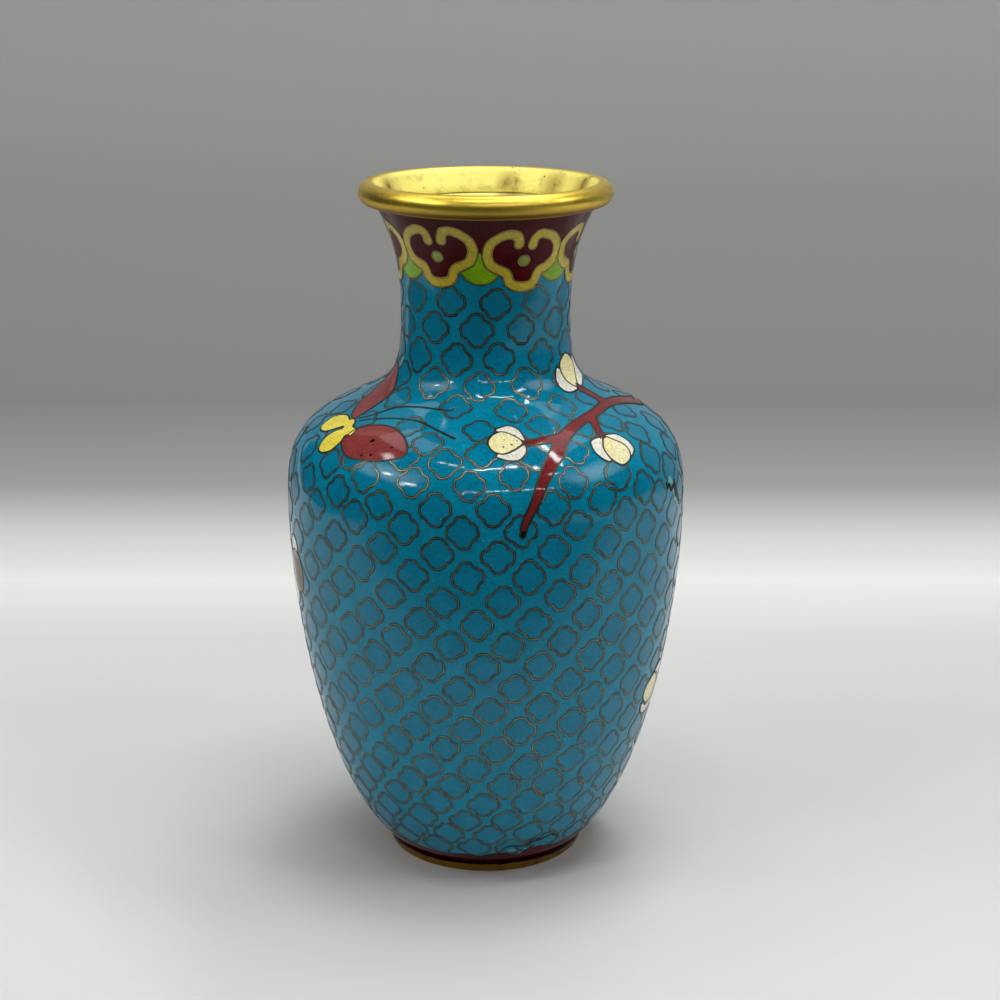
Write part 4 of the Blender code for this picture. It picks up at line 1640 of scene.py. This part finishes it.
@dataclass
class Collar:
    """The dark red band under the mouth ring with its ruyi heads and the green half rounds between them."""

    heads: int = 7
    first: float = -30.15
    second: float = 23.6
    low: float = 100.6
    level: float = 100.0
    later_drop: float = 0.5
    bowl_level: float = 98.0
    half: float = 0.68
    band: tuple[Point, ...] = (
        (-4.3, 102.3), (-4.8, 103.2), (-7.2, 103.9), (-11.5, 103.9), (-17.0, 103.3), (-21.2, 102.3),
        (-22.6, 100.9), (-20.6, 99.5), (-16.4, 98.8), (-12.4, 98.5), (-10.0, 97.9), (-8.8, 97.0),
        (-5.2, 96.35), (0.0, 96.2), (5.2, 96.4), (8.8, 97.0), (10.0, 97.9), (12.4, 98.5), (16.4, 98.9),
        (20.8, 99.6), (22.6, 101.0), (21.0, 102.5), (16.8, 103.5), (11.4, 104.1), (7.2, 104.0), (4.9, 103.3),
        (4.4, 102.5))
    bowl: tuple[Point, ...] = (
        (-2.9, 0.5), (-2.5, -0.6), (-1.5, -1.5), (0.0, -1.9), (1.5, -1.5), (2.5, -0.6), (2.9, 0.5),
        (1.4, 1.7), (0.0, 2.8), (-1.4, 1.7))

    def angles(self) -> list[float]:
        """Returns the middle of each head in degrees; the two in front stand a little wider apart."""
        rest = (360 - (self.second - self.first)) / (self.heads - 1)
        return [self.first] + [self.second + rest * k for k in range(self.heads - 1)]

    def build(self, wires: Inlay) -> None:
        """Makes and hands over the collar.

        Args:
            wires: The piece that gathers the wires of all drawings.
        """
        wine, gold, green, dots = (Inlay("collar_" + part) for part in ("red", "yellow", "green", "dots"))
        charts = [Chart(angle, self.level - self.later_drop * (k > 0))
                  for k, angle in enumerate(self.angles())]
        bands = []
        for k, chart in enumerate(charts):
            side = -1 if k % 2 else 1
            path = [Chart(0.0, self.level).local(side * x, y) for x, y in self.band[::side]]
            bands.append(stroke(path, [self.half] * len(path)))
            gold.fill(chart, [bands[k]])
            wires.wire(chart, bands[k])
            wine.fill(chart, [smooth(path, closed=True)])
            ring = ellipse((0.0, 0.0), 0.85, 0.8, 17)
            dots.fill(chart, [ring], 0.4)
            wires.wire(chart, ring)
        for k, chart in enumerate(charts):
            after = charts[(k + 1) % self.heads]
            following = Chart(after.angle + 360 * (k + 1 == self.heads), after.arc)
            between = Chart((chart.angle + following.angle) / 2, self.bowl_level)
            bowl = smooth(list(self.bowl), closed=True)
            green.fill(between, [bowl])
            beside = [between.seen(chart, bands[k]), between.seen(following, bands[(k + 1) % self.heads])]
            wires.wire(between, bowl, hidden=beside)
        top = SURFACE.length - 0.02 * MM
        outer = SURFACE.sections(self.low * MM, top, Level.GLASS - 0.006 * MM, 0.5 * MM)
        inner = SURFACE.sections(top, self.low * MM, Level.GLASS - 0.2 * MM, 1.0 * MM)
        high = heights("enamel_coat")[1]
        upper = turned("collar_red_band", [(r, min(z, high)) for r, z in outer + inner], Glass.WINE)
        hand_over(upper, "enamel")
        hand_over(green.glass(Glass.LIME, Level.GLASS - 0.012 * MM), "enamel")
        hand_over(wine.glass(Glass.WINE, Level.GLASS), "enamel")
        hand_over(gold.glass(Glass.MUSTARD, Level.SECOND_GLASS), "enamel")
        hand_over(dots.glass(Glass.SAGE, Level.THIRD_GLASS), "enamel")


@dataclass
class FootBand:
    """The uneven dark red band of glass above the foot ring."""

    edge: tuple[Point, ...] = (
        (-60.0, 3.4), (-47.9, 3.2), (-35.9, 2.4), (-22.2, 1.9), (-11.9, 2.5), (-6.9, 2.6), (-2.8, 1.8),
        (0.9, 2.7), (9.1, 3.1), (13.0, 2.5), (17.9, 1.9), (21.1, 3.3), (26.5, 3.9), (36.6, 2.8),
        (44.9, 3.3), (53.6, 3.7), (80.0, 3.0), (110.0, 2.3), (150.0, 3.2), (190.0, 2.4), (230.0, 3.3),
        (262.0, 2.7), (300.0, 3.4))
    low: float = 0.05
    middle: float = 2.0
    sectors: int = 6
    seam: float = 0.01

    def build(self) -> None:
        """Makes and hands over the band, in sectors that meet edge to edge."""
        band = Inlay("foot_red_band")
        angles, heights = zip(*self.edge)
        width = 360 / self.sectors
        for k in range(self.sectors):
            start = angles[0] + k * width
            chart = Chart(start + width / 2, self.middle)
            steps = np.linspace(start + self.seam, start + width - self.seam, 25)
            top = [(a, float(np.interp(a, angles, heights))) for a in steps]
            bottom = [(a, self.low) for a in steps]
            sides = [[(a[0], self.low + (a[1] - self.low) * t) for t in (0.25, 0.5, 0.75)]
                     for a in (top[-1], top[0])]
            loop = bottom + sides[0] + top[::-1] + sides[1][::-1]
            band.fill(chart, [[chart.local(*point) for point in loop]])
        hand_over(band.glass(Glass.WINE, Level.GLASS - 0.006 * MM), "enamel")


@dataclass
class Damage:
    """The crack on the right shoulder, the burnt tip of the branch and the disturbed cells at the foot."""

    crack: tuple[Point, ...] = ((68.5, 60.0), (68.5, 59.2), (69.25, 58.3), (71.4, 57.3), (73.2, 56.4))
    crack_halves: tuple[float, ...] = (0.2, 0.45, 0.5, 0.35, 0.1)
    zigzag: tuple[Point, ...] = ((62.3, 60.4), (62.9, 59.6), (64.2, 60.0), (65.5, 59.0), (67.8, 59.7))
    zigzag_halves: tuple[float, ...] = (0.12, 0.16, 0.2, 0.2, 0.12)
    burnt: tuple[Point, ...] = ((-10.2, -10.65), (-10.12, -10.4), (-10.05, -10.2))
    burnt_halves: tuple[float, ...] = (0.26, 0.3, 0.2)
    pale: tuple[tuple[Point, ...], ...] = (
        ((63.4, 60.5), (64.8, 61.1), (66.2, 60.6), (66.8, 59.9), (65.4, 59.6), (64.2, 60.1)),
        ((66.0, 58.8), (67.2, 59.1), (67.6, 58.3), (66.9, 57.8)),
        ((67.3, 57.5), (68.6, 57.7), (69.0, 57.0), (68.0, 56.7)),
        ((69.4, 56.6), (70.9, 56.6), (71.3, 55.9), (70.2, 55.7)))
    foot_pale: tuple[tuple[Point, ...], ...] = (
        ((9.9, 3.6), (12.3, 3.95), (14.8, 3.8), (14.6, 3.2), (11.6, 3.1)),
        ((15.6, 3.2), (17.4, 3.95), (19.3, 4.4), (19.7, 3.9), (17.9, 3.2), (16.4, 2.8)))
    wing_pits: tuple[tuple[float, float, float], ...] = (
        (7.1, -0.5, 0.34), (7.6, -3.2, 0.18), (9.0, -2.8, 0.22), (11.0, -1.0, 0.18))
    bud_pits: tuple[tuple[float, float, float], ...] = (
        (-9.7, 2.3, 0.14), (-8.9, 3.7, 0.12), (-8.4, 2.7, 0.16), (-8.8, 1.6, 0.13), (-7.7, 2.2, 0.15),
        (-7.3, 3.4, 0.12), (-7.0, 4.6, 0.12))
    foot_wires: tuple[tuple[Point, ...], ...] = (
        ((7.8, 3.6), (8.6, 4.3), (11.9, 4.9), (17.5, 4.6), (21.9, 5.3), (26.8, 5.5)),
        ((9.8, 3.3), (15.0, 2.9), (17.4, 3.6), (19.7, 4.4), (21.2, 6.0), (26.5, 5.7), (30.3, 6.3),
         (34.5, 5.8), (35.6, 5.0)),
        ((14.4, 4.4), (16.6, 3.4), (20.4, 3.0), (23.6, 4.4)))

    def build(self, wires: Inlay) -> None:
        """Makes and hands over the damaged spots.

        Args:
            wires: The piece that gathers the dark wires.
        """
        side, foot = Chart(67.0, 59.0), Chart(18.0, 4.0)
        pale, dark = Inlay("chipped_glass"), Inlay("cracks")
        # Painted glints: the pale patches round the crack and at the foot stand in for light caught on the
        # broken glass.
        for chart, patches in ((side, self.pale), (foot, self.foot_pale)):
            for patch in patches:
                pale.fill(chart, [smooth([chart.local(*p) for p in patch], closed=True)], 0.4)
        # Painted shade: the crack and its zigzag are black glass standing in for the shade in the fissure.
        dark.fill(side, [stroke([side.local(*p) for p in self.crack], list(self.crack_halves))], 0.3)
        dark.fill(BRANCH_CHART, [stroke(list(self.burnt), list(self.burnt_halves))], 0.3)
        dark.fill(side, [stroke([side.local(*p) for p in self.zigzag], list(self.zigzag_halves))], 0.3)
        for chart, pits in ((BUTTERFLY_CHART, self.wing_pits), (BRANCH_CHART, self.bud_pits)):
            for x, y, radius in pits:
                dark.fill(chart, [arc_points((x, y), radius, 0, 330, 12)], 0.3)
        for line in self.foot_wires:
            wires.wire(foot, smooth([foot.local(*p) for p in line], closed=False), closed=False)
        hand_over(pale.glass(Glass.GLINT, Level.SECOND_GLASS), "enamel")
        hand_over(dark.glass(Glass.SCAR, Level.THIRD_GLASS), "enamel")


@dataclass(frozen=True)
class Lamp:
    """A soft lamp that faces the vase, by its direction from behind the vase towards +X and its height.

    Its width may show separate bulbs, and a soft one fades towards its edges as light through a curtain does.
    """

    name: str
    azimuth: float
    elevation: float
    size: Point
    power: float
    bulbs: int = 0
    soft: bool = False
    distance: float = 0.8
    target: float = 65 * MM

    def fade(self, data: bpy.types.AreaLight) -> None:
        """Gives the lamp its bulbs or its soft edges.

        Args:
            data: The lamp's light.
        """
        data.use_nodes = True
        tree = data.node_tree
        place = add_node(tree, "ShaderNodeNewGeometry").outputs["Parametric"]
        turns = math.pi * (2 * self.bulbs or 1)
        phase = add_node(tree, "ShaderNodeVectorMath", {0: place, "Scale": turns}, operation="SCALE")
        swing = add_node(tree, "ShaderNodeVectorMath", {0: phase}, operation="SINE")
        waves = add_node(tree, "ShaderNodeSeparateXYZ", {0: swing}).outputs
        if self.bulbs:
            lit = add_node(tree, "ShaderNodeMapRange", {0: waves[0], 1: -0.3, 2: 0.3, 4: 2.0})
        else:
            # The two sine waves have a mean of 0.405, so this factor keeps the lamp's power.
            faded = add_node(tree, "ShaderNodeMath", {0: waves[0], 1: waves[1]}, operation="MULTIPLY")
            lit = add_node(tree, "ShaderNodeMath", {0: faded, 1: 2.47}, operation="MULTIPLY")
        tree.links.new(output(lit), tree.nodes["Emission"].inputs["Strength"])

    def build(self) -> None:
        """Adds the lamp."""
        data = bpy.data.lights.new(self.name, "AREA")
        data.shape = "RECTANGLE"
        data.size, data.size_y = self.size
        data.energy = self.power
        if self.bulbs or self.soft:
            self.fade(data)
        made = bpy.data.objects.new(self.name, data)
        around, up = math.radians(self.azimuth), math.radians(self.elevation)
        way = Vector((math.sin(around) * math.cos(up), math.cos(around) * math.cos(up), math.sin(up)))
        made.location = Vector((0.0, 0.0, self.target)) + way * self.distance
        made.rotation_euler = way.to_track_quat("Z", "Y").to_euler()
        bpy.context.scene.collection.objects.link(made)


@dataclass
class Studio:
    """A pale sweep, soft lamps and the camera at the photograph's angle."""

    focal_pixels: float = 2048.0
    image: float = 1000.0
    distance: float = 290 * MM
    height: float = 137 * MM
    tilt: float = 0.282
    axis_pixel: float = 485.7
    floor_front: float = -1.2
    floor_back: float = 0.13
    floor_reach: float = 1.6
    bend: float = 0.16
    wall_top: float = 0.5
    # Greys along the card's way, which paint light and shade.
    painted_shading_tones: tuple[tuple[float, float], ...] = (
        (-0.30, 0.03), (-0.13, 0.06), (-0.09, 0.30), (-0.065, 0.72), (0.0, 0.72), (0.05, 0.68), (0.085, 0.70),
        (0.122, 0.86), (0.15, 0.69), (0.18, 0.345), (0.225, 0.23), (0.32, 0.28), (0.395, 0.38), (0.42, 0.40))
    lamps: tuple[Lamp, ...] = (
        Lamp("ceiling_strip_front", 160, 72, (0.44, 0.024), 1.3, bulbs=22),
        Lamp("ceiling_strip_right", 58, 68, (0.66, 0.032), 2.0),
        Lamp("front_tube", 165, 34, (0.72, 0.012), 0.8, bulbs=26),
        Lamp("left_window", -108, 42, (0.70, 0.34), 1.3, soft=True),
        Lamp("right_window", 102, 38, (0.62, 0.34), 1.2, soft=True),
        Lamp("back_ceiling", 0, 66, (0.80, 0.36), 1.5),
        Lamp("left_pane", -130, 34, (0.13, 0.08), 0.40, soft=True),
        Lamp("left_pane_high", -108, 41, (0.10, 0.06), 0.26, soft=True),
        Lamp("ceiling_spots_left", -134, 73, (0.20, 0.03), 0.22, bulbs=3),
        Lamp("left_wall_pane", -79, 55, (0.18, 0.09), 0.30, soft=True),
        Lamp("right_pane", 125, 52, (0.08, 0.06), 0.20, soft=True),
        Lamp("back_spot", -19, 63, (0.03, 0.03), 0.03))
    world_colour: str = "#c4c8cc"
    world_strength: float = 0.06

    def camera(self) -> None:
        """Adds the camera."""
        data = bpy.data.cameras.new("camera")
        data.sensor_width = 36.0
        data.lens = data.sensor_width * self.focal_pixels / self.image
        data.shift_x = (self.image / 2 - self.axis_pixel) / self.image
        data.clip_start = 0.01
        made = bpy.data.objects.new("camera", data)
        made.location = (0.0, -self.distance, self.height)
        made.rotation_euler = (math.pi / 2 - self.tilt, 0.0, 0.0)
        bpy.context.scene.collection.objects.link(made)
        bpy.context.scene.camera = made

    def card(self) -> bpy.types.Material:
        """Makes the matt card of the floor and the wall, whose greys follow the photograph's: painted light
        and shade, dark in front, brightest just before the floor bends up and grey where it rises into the
        wall.

        Returns:
            The new material.
        """
        look = MaterialTree("matt_graded_card")
        look.shader["Roughness"].default_value = 0.9
        # The way along the card, from the front edge over the floor and up the wall, is y plus z.
        parts = look.add("ShaderNodeSeparateXYZ", {0: look.at}).outputs
        way = look.add("ShaderNodeMath", {0: parts["Y"], 1: parts["Z"]}, operation="ADD")
        first, last = self.painted_shading_tones[0][0], self.painted_shading_tones[-1][0]
        # In front the floor is dark only in the shade of whoever holds the camera, up to 0.1 or 0.3 m aside.
        off = look.add("ShaderNodeMath", {0: parts["X"]}, operation="ABSOLUTE")
        beside = look.add("ShaderNodeMapRange", {0: off, 1: 0.10, 2: 0.30, 3: first, 4: -0.06})
        clear = look.add("ShaderNodeMath", {0: way, 1: beside}, operation="MAXIMUM")
        # Beyond the picture's left edge the card darkens too, which the left flank of the enamel mirrors.
        left = look.add("ShaderNodeMapRange", {0: parts["X"], 1: -0.30, 2: -0.17, 3: first, 4: last})
        shown = look.add("ShaderNodeMath", {0: clear, 1: left}, operation="MINIMUM")
        # Painted light and shade: the ramp's greys run from the dark front over the bright floor to the grey
        # wall.
        share = look.add("ShaderNodeMapRange", {0: shown, 1: first, 2: last})
        ramp = look.add("ShaderNodeValToRGB", {0: share})
        stops = ramp.color_ramp.elements
        while len(stops) < len(self.painted_shading_tones):
            stops.new(0.5)
        # The stops change places while they are moved, so they are coloured afterwards.
        for stop, (place, _) in zip(stops, self.painted_shading_tones):
            stop.position = (place - first) / (last - first)
        for stop, (_, tone) in zip(stops, self.painted_shading_tones):
            stop.color = (tone, tone, tone * 0.975, 1.0)
        # Painted shadow: round the foot the card is painted greyer, a soft contact shadow of the vase.
        off_foot = look.add("ShaderNodeVectorMath", {0: look.at, 1: (-0.004, -0.004, 0.0)},
                            operation="DISTANCE").outputs["Value"]
        painted_contact_shadow = look.add("ShaderNodeMapRange", {0: off_foot, 1: 0.016, 2: 0.037, 3: 0.70},
                          interpolation_type="SMOOTHSTEP")
        toned = look.add("ShaderNodeVectorMath", {0: ramp.outputs["Color"], "Scale": painted_contact_shadow},
                         operation="SCALE")
        look.drive("Base Color", toned)
        return look.made

    def sweep(self) -> None:
        """Adds the pale floor that runs up into a grey wall behind."""
        line = [(self.floor_front, 0.0), (self.floor_back, 0.0)]
        line += [(self.floor_back + self.bend * math.sin(a), self.bend - self.bend * math.cos(a))
                 for a in np.linspace(0, math.pi / 2, 24)[1:]]
        line.append((self.floor_back + self.bend, self.wall_top))
        places = [(x, y, z) for y, z in line for x in (-self.floor_reach, self.floor_reach)]
        faces = [(2 * k, 2 * k + 1, 2 * k + 3, 2 * k + 2) for k in range(len(line) - 1)]
        made = source_mesh("pale_floor", places, faces=faces)
        made.data.shade_smooth()
        made.data.materials.append(self.card())

    def build(self) -> None:
        """Adds the stage, the lamps, the world and the camera."""
        self.camera()
        self.sweep()
        for lamp in self.lamps:
            lamp.build()
        world = bpy.data.worlds.new("studio")
        world.use_nodes = True
        sky = world.node_tree.nodes["Background"].inputs
        sky["Color"].default_value = linear(self.world_colour)
        sky["Strength"].default_value = self.world_strength
        bpy.context.scene.world = world
        bpy.context.scene.view_settings.view_transform = "Standard"


def main() -> None:
    """Builds the vase and its stage in order."""
    logging.basicConfig(level=logging.INFO, format="%(message)s")
    Vessel().build()
    CellDiaper().build()
    collar_wires, dark_wires = Inlay("collar_wires"), Inlay("drawing_wires")
    Collar().build(collar_wires)
    hand_over(collar_wires.wires(Metal.FINE_WIRE, 0.24 * MM, Level.WIRE), "enamel")
    Butterfly(BUTTERFLY_CHART).build(dark_wires)
    Bough(BRANCH_CHART, BACK_CHART).build(dark_wires)
    FootBand().build()
    Damage().build(dark_wires)
    hand_over(dark_wires.wires(Metal.DARK_WIRE, 0.27 * MM, Level.WIRE), "enamel")
    bpy.data.objects.remove(GUIDE)
    Studio().build()


if __name__ == "__main__":
    main()
